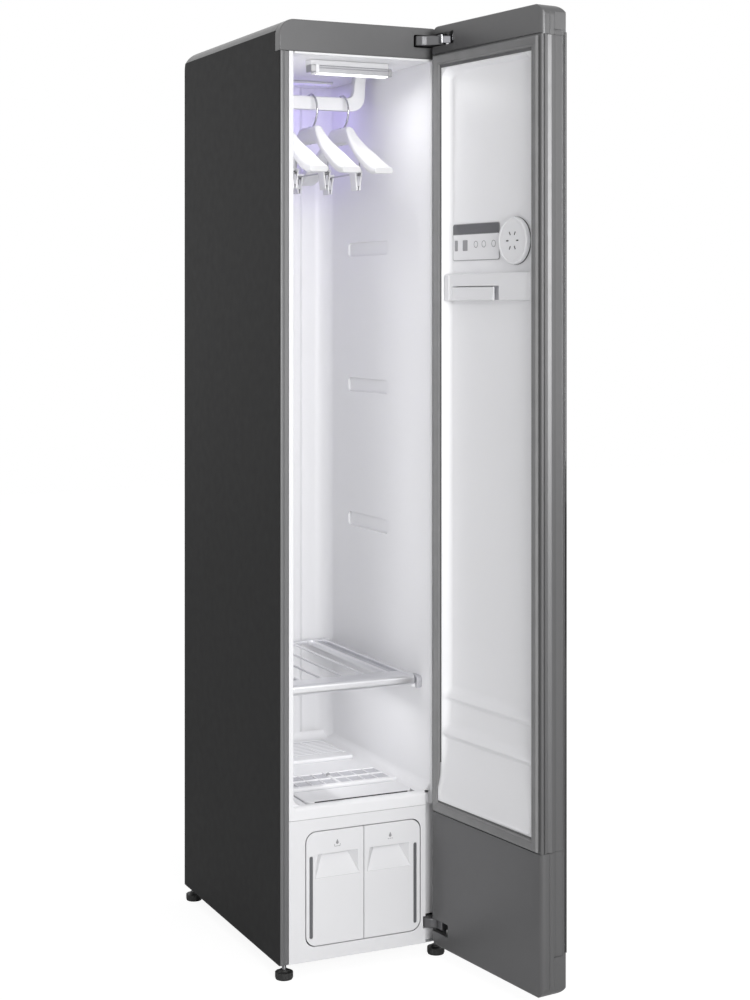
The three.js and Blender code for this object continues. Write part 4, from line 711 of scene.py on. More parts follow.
def satin_paint(name, colour, roughness=0.36, metallic=0.55):
    """Metallic paint with fine flakes under a satin coat."""
    f = Finish(name)
    flakes = f.cells(5200)
    cloud = f.noise(5, 3)
    f.done(
        Base_Color=f.shades((cloud * 0.6 + flakes * 0.55).clipped(), colour, 1.10, 0.88),
        Roughness=roughness - 0.05 + 0.10 * f.noise(60, 4),
        Metallic=metallic,
        Normal=f.relief(f.noise(1500, 2), 0.02 * MM, 0.25),
        Coat_Weight=0.15,
        Coat_Roughness=0.25,
    )


def moulding(name, colour, roughness=0.30, peel=900, gleam=0.5):
    """Injection-moulded plastic with a slight peel and faint unevenness."""
    f = Finish(name)
    cloud = f.noise(2.5, 1)
    f.done(
        Base_Color=f.shades(cloud, colour, 1.004, 0.99),
        Roughness=roughness - 0.02 + 0.04 * f.noise(30, 2),
        Normal=f.relief(f.noise(peel, 2), 0.01 * MM, 0.06),
        Specular_IOR_Level=gleam,
    )


def brushed(name, colour, stretch=(1, 1, 60), scale=420, roughness=0.32):
    """Metal brushed along its length."""
    f = Finish(name)
    lines = f.noise(scale, 4, stretch)
    f.done(
        Base_Color=f.shades(lines, colour, 1.08, 0.90),
        Roughness=roughness - 0.06 + 0.14 * lines,
        Metallic=1.0,
        Normal=f.relief(lines, 0.015 * MM, 0.3),
    )


def polished(name, colour, roughness=0.10):
    """Plated metal with faint handling marks."""
    f = Finish(name)
    marks = f.ramp(f.noise(55, 6), (0.45, 0.0), (0.70, 1.0))
    f.done(
        Base_Color=f.shades(f.noise(20, 2), colour, 1.03, 0.94),
        Roughness=roughness + 0.10 * marks,
        Metallic=1.0,
        Normal=f.relief(f.noise(300, 2), 0.01 * MM, 0.15),
    )


def galvanised(name, colour):
    """Zinc-coated sheet with its spangle."""
    f = Finish(name)
    grey = f.node("ShaderNodeRGBToBW", {}, {0: f.cells(95.0, "Color")})
    spangle = Value(f, grey.outputs[0])
    f.done(
        Base_Color=f.shades(spangle, colour, 1.12, 0.86),
        Roughness=0.34 + 0.16 * spangle,
        Metallic=0.9,
        Normal=f.relief(f.noise(240, 3), 0.02 * MM, 0.2),
    )


def rubbery(name, colour):
    """Extruded rubber with a dusty bloom."""
    f = Finish(name)
    bloom = f.noise(24, 4)
    f.done(
        Base_Color=f.shades(bloom, colour, 1.2, 0.85),
        Roughness=0.62 + 0.16 * bloom,
        Normal=f.relief(f.noise(1400, 2), 0.03 * MM, 0.3),
        Specular_IOR_Level=0.35,
    )


def smoky_tank(name, colour):
    """Smoke-tinted clear plastic."""
    f = Finish(name)
    cloud = f.noise(14, 3)
    f.done(
        Base_Color=f.shades(cloud, colour, 1.08, 0.92),
        Roughness=0.16 + 0.10 * cloud,
        Transmission_Weight=0.75,
        IOR=1.45,
    )


def dark_glass(name, colour):
    """Tinted glass with its black printed back."""
    f = Finish(name)
    smears = f.ramp(f.noise(9, 6), (0.42, 0.0), (0.75, 1.0))
    f.done(
        Base_Color=f.shades(f.noise(3, 2), colour, 1.1, 0.9),
        Roughness=0.04 + 0.06 * smears,
        Specular_IOR_Level=0.6,
        Coat_Weight=0.6,
        Coat_Roughness=0.03,
    )


def glowing(name, colour, strength):
    """A lit diffuser whose glow varies a little at random."""
    f = Finish(name)
    cloud = f.noise(30, 2)
    f.done(
        Base_Color=f.shades(cloud, colour, 1.0, 0.96),
        Emission_Color=f.shades(cloud, colour, 1.0, 0.94),
        Emission_Strength=strength,
        Roughness=0.35 + 0.1 * cloud,
    )


class CABINET_OT_finishes(bpy.types.Operator):
    """Makes every material."""

    bl_idname = "cabinet.finishes"
    bl_label = "Finishes"

    def execute(self, context):
        colours = context.scene.cabinet_colours
        powder_coat("powder_coat", colours.side)
        satin_paint("satin_trim", colours.trim)
        satin_paint("satin_head", colours.head)
        satin_paint("satin_door", colours.door)
        galvanised("zinc_sheet", (0.50, 0.51, 0.52))
        moulding("white_lining", colours.lining, 0.40)
        moulding("white_fitting", (0.77, 0.77, 0.785), 0.38)
        # A grey copy of the white fitting plastic: painted shade for hollows, gaps and faces turned
        # away from the light.
        moulding("shaded_fitting", (0.50, 0.50, 0.53), 0.45)
        moulding("white_hanger", (0.74, 0.74, 0.75), 0.42, 1400)
        moulding("grey_moulding", (0.30, 0.30, 0.31), 0.45)
        moulding("black_moulding", (0.018, 0.018, 0.018), 0.5, 1600)
        moulding("dark_window", (0.13, 0.132, 0.14), 0.16, 200)
        polished("plated_casting", (0.15, 0.15, 0.155), 0.42)
        polished("plated_wire", (0.62, 0.62, 0.64), 0.08)
        brushed("satin_bar", (0.80, 0.80, 0.82), (1, 60, 1))
        brushed("lamp_case", (0.50, 0.50, 0.52), (1, 60, 60))
        brushed("machined_steel", (0.50, 0.50, 0.51))
        brushed("bare_fins", (0.66, 0.66, 0.68), (1, 1, 40))
        polished("copper_pipe", (0.62, 0.30, 0.18), 0.22)
        powder_coat("black_enamel", (0.012, 0.012, 0.013), 900, 0.3)
        rubbery("grey_rubber", (0.22, 0.22, 0.222))
        rubbery("black_rubber", (0.016, 0.016, 0.016))
        smoky_tank("smoky_clear", (0.42, 0.45, 0.50))
        dark_glass("dark_glass", (0.012, 0.012, 0.013))
        glowing("lamp_diffuser", (1.0, 1.0, 1.0), 1.3)
        glowing("violet_diffuser", (0.74, 0.70, 0.98), 0.2)
        return {"FINISHED"}


# The outer casing

CROWN_RADIUS = 30.0
CROWN_REAR_RADIUS = 40.0
CROWN_WALL = 2.5
SKIRT = 21.0
FASCIA_DEPTH = 24.0
SCREW_RADIUS = 3.6
HINGE_PIN_END = 9.0
HINGE_WELL = 22.0
VENT_LOW = 70.0
VENT_PITCH = 16.0
SCREW_PITCH = 280.0
KNOB_RADIUS = 16.7
THREAD_PITCH = 1.0


def arm_reach(node):
    """The lowest and highest z of a hinge's arm, within the ends of its pin."""
    low, high = reach(node)
    return low.z + HINGE_PIN_END, high.z - HINGE_PIN_END


def crown(name, front, back, low, inset=0.0):
    """The rounded head of the cabinet between two depths, smaller by the inset."""
    high = TOP - inset
    side = SIDE - inset
    corners = (0, 0, CROWN_RADIUS - inset, CROWN_RADIUS - inset)
    obj = drawn(name, rectangle(-side, side, low, high, corners, 16), "y", front, back)
    along = rectangle(
        FRONT - CUT, BACK - inset, low - CUT, high, (0, 0, CROWN_REAR_RADIUS - inset, 0), 16
    )
    return trimmed(obj, solid((along, "x", -SIDE - CUT, SIDE + CUT)))


def screw(axis, a, b, seat, sign=1, radius=SCREW_RADIUS):
    """A pan head screw with a socket in its head."""
    profile = [(1.2, 0.7), (1.4, 1.7), (radius * 0.62, 1.75), (radius * 0.9, 1.3), (radius, 0.0)]
    return turned([(r, seat + sign * h) for r, h in profile], axis, a, b, 20)


class CABINET_OT_casing(bpy.types.Operator):
    """Makes the panels, the rounded head, the stiles and the vented back."""

    bl_idname = "cabinet.casing"
    bl_label = "Casing"

    def execute(self, context):
        for node in ("left_side_panel", "right_side_panel"):
            dress(node, "powder_coat", "graphite", 0.5)
        for node in ("left_stile", "right_stile"):
            dress(node, "satin_trim", "grey_trim", 0.7)
        dress("base_plate", "zinc_sheet", "plate", 0.4)
        self.cover()
        self.fascia()
        self.back()
        self.inlet()
        return {"FINISHED"}

    def cover(self):
        front = reach("top_cover")[0].y
        cover = crown("top_cover_shape", front, BACK, reach("top_cover")[0].z)
        hollow = crown("hollow", front - CUT, BACK, TOP - 80, CROWN_WALL)
        mesh = bmesh.new()
        mesh.from_mesh(hollow.data)
        bmesh.ops.scale(mesh, vec=(1 / MM, 1 / MM, 1 / MM), verts=mesh.verts)
        bpy.data.objects.remove(hollow)
        skirt = TOP - SKIRT
        rear = BACK - CROWN_REAR_RADIUS
        lip = SIDE - 1.5
        carve(
            cover,
            mesh,
            block(-SIDE - CUT, SIDE + CUT, FRONT, rear, skirt - 60, skirt),
            block(-SIDE - CUT, -lip, rear - CUT, BACK + CUT, skirt - 60, skirt),
            block(lip, SIDE + CUT, rear - CUT, BACK + CUT, skirt - 60, skirt),
        )
        stand_in(cover, "top_cover", "satin_head", "grey_trim", 0.5)

    def fascia(self):
        corners = (0, 0, CROWN_RADIUS, CROWN_RADIUS)
        outline = rectangle(-SIDE, SIDE, HEAD_BOTTOM, TOP, corners, 16)
        fascia = drawn("head_fascia_shape", outline, "y", FRONT, FRONT + FASCIA_DEPTH)
        wall = CROWN_WALL
        inner = [0, 0, CROWN_RADIUS - wall, CROWN_RADIUS - wall]
        hollow = rectangle(-SIDE + wall, SIDE - wall, HEAD_BOTTOM + wall, TOP - wall, inner, 16)
        near = reach("upper_hinge")[0].x
        arm_low, arm_high = arm_reach("upper_hinge")
        pocket = rectangle(near - 2.5, SIDE - 19, arm_low - 2.5, arm_high + 2.5, 2.0, 3)
        carve(
            fascia,
            solid((hollow, "y", FRONT + wall, FRONT + FASCIA_DEPTH + CUT)),
            solid((pocket, "y", FRONT - CUT, FRONT + FASCIA_DEPTH + CUT)),
        )
        stand_in(fascia, "head_fascia", "satin_head", "grey_trim", 1.0, 3)
        # A black well closes the pocket behind the hinge arm. Its black is painted shade for the
        # pocket's depths.
        well = drawn(
            "hinge_well",
            rectangle(near - 4, SIDE - 17, arm_low - 4, arm_high + 4, 3.0, 3),
            "y",
            FRONT + 2.6,
            FRONT + HINGE_WELL,
        )
        carve(well, solid((pocket, "y", FRONT - CUT, FRONT + HINGE_WELL + CUT)))
        place(well, "head_fascia", "black_moulding", "inlet", bevel=0.3)

    def back(self):
        dress("back_panel", "zinc_sheet", "plate", 0.3)
        low = VENT_LOW
        hood = fillet(
            [
                (BACK - 0.2, low + 6.6, 0),
                (BACK + 1.4, low + 6.6, 1),
                (BACK + 4.2, low + 2.4, 1),
                (BACK + 4.2, low + 0.4, 0),
                (BACK + 3.0, low + 0.4, 0),
                (BACK - 0.2, low + 5.2, 0.5),
            ],
            3,
        )
        hoods = row("vent_hoods", solid((hood, "x", 1, 89)), 8, (0, 0, VENT_PITCH))
        place(hoods, "back_panel", "zinc_sheet", "plate", bevel=0.3)
        edge = SIDE - 10
        rows = [
            row(f"back_screws_{i}", screw("y", x, 40, BACK), 7, (0, 0, SCREW_PITCH))
            for i, x in enumerate((-edge, edge))
        ]
        place(gather(*rows), "back_panel", "machined_steel", "crank_metal")

    def inlet(self):
        low, high = reach("power_inlet")
        x, _, z = halfway(low, high)
        profile = [(5.5, 266), (11, 264.2), (11, 278.3), (16, 278.4), (16, 279.4), (12, 279.9)]
        profile += [(11, 282), (10.4, 284.8), (6.2, 284.9), (5.5, 284), (5.5, 270)]
        gland = lathed("cable_gland", profile, "y", x, z, 40)
        rib = block(10.4, 11.8, -0.7, 0.7, 1.2, 4.4, 0.4)
        ribs = ring("gland_ribs", rib, 20, (x, 284.8, z), (math.pi / 2, 0, 0))
        stand_in(gather(gland, ribs), "power_inlet", "black_moulding", "inlet")


class CABINET_OT_feet(bpy.types.Operator):
    """Makes the four levelling feet."""

    bl_idname = "cabinet.feet"
    bl_label = "Feet"

    def execute(self, context):
        for node in ("foot_front_left", "foot_front_right", "foot_rear_left", "foot_rear_right"):
            low, high = reach(node)
            x, y, _ = halfway(low, high)
            self.knob(node, x, y, low.z)
            self.stud(node, x, y, low.z, high.z)
        return {"FINISHED"}

    def knob(self, node, x, y, low):
        grip = []
        for k in range(144):
            turn = 2 * math.pi * k / 144
            radius = KNOB_RADIUS + 0.8 * min(1.0, 1.6 * abs(math.cos(6 * turn)))
            grip.append((x + radius * math.cos(turn), y + radius * math.sin(turn)))
        knob = drawn(node + "_knob", grip, "z", low + 2, low + 13.5)
        soften(knob, 0.8 * MM, 2)
        settle(knob)
        base = lathed(node + "_pad", [(14, low), (16.2, low), (16.6, low + 2.2)], "z", x, y)
        neck = [
            (12.5, low + 13), (10.4, low + 14.2), (9, low + 15), (8.6, low + 17.4), (8, low + 18)
        ]
        collar = lathed(node + "_neck", neck, "z", x, y, 12)
        stand_in(gather(knob, base, collar), node, "black_moulding", "foot")

    def stud(self, node, x, y, low, high):
        profile = []
        z = low + 17.5
        while z < high - 1.5:
            profile += [(3.6, z), (4.2, z + 0.5)]
            z += THREAD_PITCH
        profile += [(3.6, high - 0.8), (3.0, high)]
        stud = lathed(node + "_stud", profile, "z", x, y, 16)
        place(stud, node, "machined_steel", "crank_metal")


class CABINET_OT_hinges(bpy.types.Operator):
    """Makes the two cast hinges with their pin blocks."""

    bl_idname = "cabinet.hinges"
    bl_label = "Hinges"

    def execute(self, context):
        pin = next(j for j in frame["joints"] if j["name"] == "door_hinge")["pos_m"]
        x, y = pin[0] / MM, pin[1] / MM
        for node in ("upper_hinge", "lower_hinge"):
            low = reach(node)[0]
            arm_low, arm_high = arm_reach(node)
            plan = [
                (low.x, FRONT + 60, 0),
                (low.x, FRONT - 4, 5),
                (low.x + 9, FRONT - 12, 8),
                (low.x + 18, FRONT - 15.2, 8),
                (x - 8, y - 7, 3),
                (x - 2, y - 7.5, 2),
                (x - 2, y + 7.5, 2),
                (SIDE - 22, FRONT + 1, 4),
                (SIDE - 22, FRONT + 60, 0),
            ]
            arm = drawn(node + "_arm", fillet(plan, 10), "z", arm_low, arm_high)
            stand_in(arm, node, "plated_casting", "hinge_metal", 1.6, 3)
            knuckle = block(x - 14, x + 8, y - 15, y + 8, arm_low + 3, arm_high + 1.5, 2.6)
            shaft = turned([(4, arm_high + 8.8), (4, arm_low - 8.8)], "z", x, y, 24)
            block_top = gather(
                loose_object(node + "_knuckle", knuckle), loose_object(node + "_pin", shaft)
            )
            upper = node == "upper_hinge"
            metal = "plated_wire" if upper else "plated_casting"
            place(block_top, node, metal, "hinge_metal", bevel=0.8)
            outline = [
                (x - 57, y - 21, 0),
                (x - 57, y + 8, 1),
                (x - 39, y + 7.5, 2),
                (x - 20, y - 9, 2),
                (x - 20, y - 21, 0),
            ]
            rest = solid((fillet(outline, 4), "z", arm_low + 5, arm_high + 1.5))
            owner = "door_cap" if upper else "door_foot"
            place(
                loose_object(node + "_rest", rest),
                owner,
                metal,
                "hinge_metal",
                bevel=0.8,
                shut=True,
            )
        return {"FINISHED"}


# The lining

FLANGE_SIDE = 158.7
LINING_SIDE = 153.0
DUCT_ROOT, DUCT_EDGE = 84.0, 76.0
RECESS_DEPTH = 4.5
RECESS_FLOORS = (791, 1084, 1377)
RECESS_HEIGHT = 29
LEDGE_LOW, LEDGE_HIGH = 500, 508
SILL_END = 135.0


class CABINET_OT_lining(bpy.types.Operator):
    """Makes the one moulded lining: walls, ceiling and floor."""

    bl_idname = "cabinet.lining"
    bl_label = "Lining"

    def execute(self, context):
        settings = context.scene.cabinet_cavity
        self.walls(settings.corner)
        self.ledges()
        self.ceiling()
        self.floor(settings.cove)
        return {"FINISHED"}

    def walls(self, corner):
        inner = [
            (FLANGE_SIDE, FRONT, 0.6),
            (149.5, FRONT, 1.5),
            (CAVITY_SIDE, FRONT + 6, 4),
            (CAVITY_SIDE, CAVITY_BACK, corner),
            (DUCT_ROOT, CAVITY_BACK, 6),
            (DUCT_EDGE, DUCT_FRONT, 4),
        ]
        outer = [
            (LINING_SIDE, CAVITY_BACK + 6, 0),
            (LINING_SIDE, FRONT + 6, 0),
            (FLANGE_SIDE, FRONT + 2.5, 0),
        ]
        left = [(-x, y, r) for x, y, r in inner]
        outline = left + inner[::-1] + outer[::-1] + [(-x, y, r) for x, y, r in outer]
        low, high = reach("liner_left", "liner_right")
        walls = drawn("lining_walls", fillet(outline), "z", low.z, high.z)
        for z in RECESS_FLOORS:
            pocket = rectangle(-78, 124, z, z + RECESS_HEIGHT, 9)
            carve(
                walls,
                solid((pocket, "x", -CAVITY_SIDE - RECESS_DEPTH, -CAVITY_SIDE + CUT)),
                solid((pocket, "x", CAVITY_SIDE - CUT, CAVITY_SIDE + RECESS_DEPTH)),
            )
        nodes = ("liner_left", "liner_right", "liner_back")
        place(walls, "liner_left", "white_lining", "liner", nodes, 0.9)

    def ledges(self):
        bars = []
        for sign in (-1, 1):
            edge, root = sign * 131, sign * (CAVITY_SIDE + 1)
            low, high = min(edge, root), max(edge, root)
            radii = (0, 10, 0, 0) if sign < 0 else (10, 0, 0, 0)
            outline = rectangle(low, high, -229, 236, radii)
            bars.append(drawn(f"ledge_{sign}", outline, "z", LEDGE_LOW, LEDGE_HIGH))
        place(gather(*bars), "liner_left", "white_lining", "liner", bevel=1.6, segments=3)
        stops = [
            slab("ledge_stop", a, a + 12, -238, -200, LEDGE_LOW - 1, LEDGE_HIGH + 16, 8, "x")
            for a in (-148.5, 136.5)
        ]
        # The stops get the grey fitting plastic: painted shade on faces turned from the light.
        place(gather(*stops), "liner_left", "shaded_fitting", "liner", bevel=2.5, segments=3)

    def ceiling(self):
        low, high = reach("liner_ceiling")
        plate = slab("lining_ceiling", -CAVITY_SIDE, CAVITY_SIDE, FRONT, CAVITY_BACK, low.z, high.z)
        for sign in (-1, 1):
            near, far = sorted((sign * 86, sign * 143))
            slot = rectangle(near, far, RAIL_LOW.y - 2, RAIL_HIGH.y + 2, 3)
            carve(plate, solid((slot, "z", low.z - CUT, high.z + CUT)))
        boss = lathed(
            "ceiling_boss",
            [(3, low.z - 7), (6, low.z - 7), (8, low.z - 5), (9, low.z + 1)],
            "z",
            -30,
            62,
        )
        stand_in(gather(plate, boss), "liner_ceiling", "white_lining", "liner", 0.8)

    def floor(self, cove):
        low, high = reach("liner_floor")
        deck = [
            (FRONT, low.z, 0),
            (FRONT, high.z, 9),
            (CAVITY_BACK, high.z, 0),
            (CAVITY_BACK, high.z - 6, 0),
            (FRONT + 2.8, high.z - 6, 5),
            (FRONT + 2.8, low.z, 0),
        ]
        floor = drawn("lining_floor", fillet(deck), "x", -CAVITY_SIDE, CAVITY_SIDE)
        carve(
            floor,
            block(SILL_END, CAVITY_SIDE + CUT, FRONT - CUT, FRONT + 13, low.z - CUT, high.z + CUT),
        )
        for node, lip in (("lint_filter", -2), ("steam_grille", 5), ("air_grille", 5)):
            a, b = reach(node)
            window = block(a.x + lip, b.x - lip, a.y + lip, b.y - lip, high.z - 11, high.z + 5)
            carve(floor, window)
        arc = [
            (cove - cove * math.cos(t), cove - cove * math.sin(t))
            for t in [math.pi / 2 * k / 8 for k in range(9)]
        ]
        strips = [
            slab("sill_back", SILL_END, CAVITY_SIDE, FRONT + 13, FRONT + 15, low.z, high.z - 1),
            slab("sill_side", SILL_END - 2, SILL_END, FRONT + 2, FRONT + 14, low.z, high.z - 1),
            slab("sill_corner", -151, -146, FRONT, FRONT + 6, low.z, high.z, 1),
        ]
        for sign in (-1, 1):
            wall = sign * (CAVITY_SIDE + 0.2)
            outline = [(wall - sign * a, high.z + b) for a, b in arc] + [(wall, high.z - 0.4)]
            strip = solid((outline, "y", FRONT + 7, CAVITY_BACK))
            strips.append(loose_object(f"cove_{sign}", strip))
        outline = [(DUCT_FRONT + 0.2 - a, high.z + b) for a, b in arc] + [
            (DUCT_FRONT + 1, high.z - 0.4)
        ]
        strips.append(drawn("cove_back", outline, "x", -CAVITY_SIDE, CAVITY_SIDE))
        stand_in(gather(floor, *strips), "liner_floor", "white_lining", "liner", 0.7)


class CABINET_OT_grilles(bpy.types.Operator):
    """Makes the steam grille, the air grille and the lint filter."""

    bl_idname = "cabinet.grilles"
    bl_label = "Grilles and filter"

    def execute(self, context):
        self.steam()
        self.air(context.scene.cabinet_cavity.slats)
        self.filter()
        return {"FINISHED"}

    def steam(self):
        low, high = reach("steam_grille")
        x, y0, y1, z, top = high.x, low.y, high.y, low.z, high.z
        tray = slab("steam_tray", -x + 1, x - 1, y0 + 3, y1 - 1, z - 0.6, top - 2.2)
        edges = [slab("steam_side", a, a + 5, y0 + 4, y1, z, top, 1.6, "y") for a in (-x, x - 5)]
        back = slab("steam_back", -x, x, y1 - 5, y1, z, top, 1.6, "x")
        lip = slab("steam_lip", -x, x, y0, y0 + 14, z - 1, top + 2.5, 3.4, "x")
        carve(lip, solid((circle(x - 12, y0 + 8, 2.4, 20), "z", z + 2, z + 15)))
        middle = (y0 + 14 + y1) / 2
        rib = slab("steam_rib", -x + 4, x - 4, middle - 1.6, middle + 1.6, z, top + 0.5, 1.2, "x")
        spine = slab("steam_spine", -3, 3, y0 + 10, y1 - 4, z, top + 1.6, 1.8, "y")
        pitch = 2 * (x - 3) / 8
        bar = block(-x + 2 + pitch, -x + 4 + pitch, y0 + 10, y1 - 4, z, top, 0.9, "y")
        bars = row("steam_bars", bar, 7, (pitch, 0, 0))
        whole = gather(*edges, back, lip, rib, spine, bars)
        stand_in(whole, "steam_grille", "white_fitting", "fitting", 0.4)
        # The tray under the bars is grey: painted shade in the cells between the bars.
        place(tray, "steam_grille", "shaded_fitting", "fitting")
        peak = lathed(
            "steam_probe", [(4, top + 0.5), (3.6, top + 4), (1.2, top + 6)], "z", 0, middle + 18, 20
        )
        place(peak, "steam_grille", "grey_moulding", "cap")

    def air(self, slats):
        low, high = reach("air_grille")
        x, y0, y1, z, top = high.x, low.y, high.y, low.z, high.z
        lip = slab("air_lip", -x, x, y0 + 2, y0 + 14, z - 1, top, 4.5, "x")
        shelf = slab("air_lead", -x, x, y0 + 10, y0 + 46, z, top - 1.5, 1, "x")
        sides = [slab("air_side", a, a + 6, y0 + 40, y1, z, top, 1.2, "y") for a in (-x, x - 6)]
        end = slab("air_end", -x, x, y1 - 6, y1, z, top, 1.5, "x")
        bed = slab("air_bed", -x + 1, x - 1, y0 + 45.8, y1 - 1, z - 1.5, top - 1.6)
        first = y0 + 48
        pitch = (y1 - 8 - first) / slats
        blade = block(-x + 4, x - 4, first, first + 4.5, top - 2.6, top - 0.4, 0.8, "x")
        blades = row("air_slats", blade, slats, (0, pitch, 0))
        stays = row("air_stays", block(-57.5, -54.5, y0 + 40, y1 - 3, z, top - 1), 3, (56, 0, 0))
        whole = gather(lip, shelf, *sides, end, blades, stays)
        stand_in(whole, "air_grille", "white_fitting", "fitting", 0.3)
        # The bed under the slats is grey: painted shade between the slats.
        place(bed, "air_grille", "shaded_fitting", "fitting")

    def filter(self):
        low, high = reach("lint_filter")
        x, y0, y1 = high.x, low.y, high.y
        outline = rectangle(-x + 1, x - 1, y0 + 1, y1 - 1, (16, 16, 6, 6))
        plate = drawn("filter_plate", outline, "z", high.z - 4, high.z + 2.2)
        soften(plate, 1.6 * MM, 3)
        settle(plate)
        back = y1 - 6
        rails = [
            slab("filter_rail", -102, 102, back, back + 3, z, z + 3) for z in (low.z, high.z - 7)
        ]
        post = block(-102, -99, back, back + 3, low.z, high.z - 3)
        posts = row("filter_posts", post, 10, (22.1, 0, 0))
        stand_in(gather(plate, posts, *rails), "lint_filter", "white_fitting", "fitting")
        thread = block(-101, 101, back + 1, back + 1.8, low.z + 2, low.z + 2.7)
        mesh = row("filter_mesh", thread, 22, (0, 0, 1.5))
        place(mesh, "lint_filter", "grey_moulding", "cap")
        # A black sheet under the filter's edge and a black strip before its front edge: painted
        # shadow of the gap round the filter.
        well = block(-x - 2, x + 2, y0 - 2, y1 + 2, high.z - 5.6, high.z - 4.6)
        slot = block(-x + 18, x - 14, y0 - 0.8, y0 + 2, high.z - 5, high.z + 1.5)
        dark = gather(loose_object("filter_well", well), loose_object("filter_slot", slot))
        place(dark, "liner_floor", "black_moulding", "inlet")


class CABINET_OT_lamps(bpy.types.Operator):
    """Makes the ceiling lamp and the violet strip."""

    bl_idname = "cabinet.lamps"
    bl_label = "Ceiling lamps"

    def execute(self, context):
        self.ceiling_lamp()
        self.violet_strip()
        return {"FINISHED"}

    def ceiling_lamp(self):
        low, high = reach("ceiling_lamp")
        top = low.z + 17
        section = rectangle(low.y, high.y, low.z + 2, top, (1, 1, 4, 2.5))
        case = drawn("lamp_case", section, "x", low.x + 17, high.x - 7)
        carve(case, block(low.x, high.x, low.y - CUT, low.y + 0.9, top - 6.2, top - 5))
        place(case, "ceiling_lamp", "lamp_case", "lamp", ("ceiling_lamp",), 0.4)
        near = block(low.x, low.x + 10, low.y, high.y, low.z + 3, top + 1, 2, "x")
        far = block(high.x - 6.5, high.x, low.y, high.y, low.z + 1, top, 3, "x")
        ends = gather(loose_object("lamp_end_near", near), loose_object("lamp_end_far", far))
        place(ends, "ceiling_lamp", "machined_steel", "lamp", bevel=0.8)
        cap = block(low.x + 10, low.x + 17, low.y - 1, high.y, low.z, top + 2, 2, "x")
        stem = block(low.x + 2, high.x - 4, low.y + 8, high.y + 10, top - 1, high.z, 2)
        mount = gather(loose_object("lamp_cap", cap), loose_object("lamp_stem", stem))
        place(mount, "ceiling_lamp", "white_fitting", "fitting", bevel=0.8)
        pane = block(low.x + 18, high.x - 8, low.y + 1.5, high.y - 1, low.z, low.z + 3.5, 1.5, "x")
        place(loose_object("lamp_pane", pane), "ceiling_lamp", "lamp_diffuser", "lamp", bevel=0.3)

    def violet_strip(self):
        low, high = reach("uv_strip")
        tray = slab("violet_tray", low.x, high.x, low.y, high.y, low.z + 3, high.z, 2, "x")
        stand_in(tray, "uv_strip", "white_fitting", "fitting", 0.6)
        pane = block(low.x + 4, high.x - 4, low.y + 3, high.y - 3, low.z + 1, low.z + 4, 1, "x")
        place(loose_object("violet_pane", pane), "uv_strip", "violet_diffuser", "uv", bevel=0.3)
        middle = (low.y + high.y) / 2
        dome = turned(
            [(0.5, low.z), (1.8, low.z + 0.3), (2.2, low.z + 1.4)], "z", low.x + 12, middle, 14
        )
        domes = row("violet_lights", dome, 8, ((high.x - low.x - 24) / 7, 0, 0))
        place(domes, "uv_strip", "white_fitting", "lamp")


# The rail and the hangers


class CABINET_OT_rail(bpy.types.Operator):
    """Makes the shaking rail with its crank and motor."""

    bl_idname = "cabinet.rail"
    bl_label = "Rail"

    def execute(self, context):
        low, high = RAIL_LOW, RAIL_HIGH
        outline = [
            (high.x, high.z, 0),
            (high.x - 6, low.z, 30),
            (-high.x + 6, low.z, 30),
            (-high.x, high.z, 0),
            (-high.x + 24, high.z, 0),
            (-high.x + 31, low.z + 28, 14),
            (high.x - 31, low.z + 28, 14),
            (high.x - 24, high.z, 0),
        ]
        bail = drawn("rail_bail", fillet(outline, 16), "y", low.y, high.y)
        soften(bail, 2.4 * MM, 3)
        settle(bail)
        yoke = slab("rail_yoke", low.x, 14, low.y, high.y, high.z - 4, high.z, 0)
        stand_in(gather(bail, yoke), "hanger_rail", "white_fitting", "rail")
        dress("rail_crank", "machined_steel", "crank_metal", 0.5)
        dress("shaker_motor", "black_moulding", "motor", 2.0, 3)
        return {"FINISHED"}


HOOK_RADIUS = 35.0
HOOK_WIRE = 2.2
HOOK_DROP = 40.0
ROD_DROP = 94.0
CLIP_SIDE = 73.0

# Place along a shoulder, width, top and bottom there, as shares of its length, width and drops
SHOULDER_SHARES = [
    (0, 0, 0, 0.0),
    (0.2, 0.05, 0.0, 0.02),
    (0.235, 0.16, 0.1, 0.06),
    (0.31, 0.36, 0.235, 0.14),
    (0.4, 0.58, 0.37, 0.27),
    (0.49, 0.76, 0.475, 0.42),
    (0.64, 0.93, 0.63, 0.66),
    (0.78, 1, 0.78, 0.86),
    (0.9, 1, 0.895, 0.95),
    (0.98, 0.84, 0.95, 0.935),
]


def shoulder_shares(count):
    """The shoulder's shares at even stations, eased into smooth lines."""
    stations = []
    for k in range(count + 1):
        along = SHOULDER_SHARES[-1][0] * k / count
        low, high = next(
            pair for pair in zip(SHOULDER_SHARES, SHOULDER_SHARES[1:]) if along <= pair[1][0] + 1e-9
        )
        share = (along - low[0]) / (high[0] - low[0])
        stations.append([a + (b - a) * share for a, b in zip(low, high)])
    eased = [s[:] for s in stations]
    for before, here, after, new in zip(stations, stations[1:], stations[2:], eased[1:]):
        new[1:] = [(a + 2 * b + c) / 4 for a, b, c in zip(before[1:], here[1:], after[1:])]
    return eased


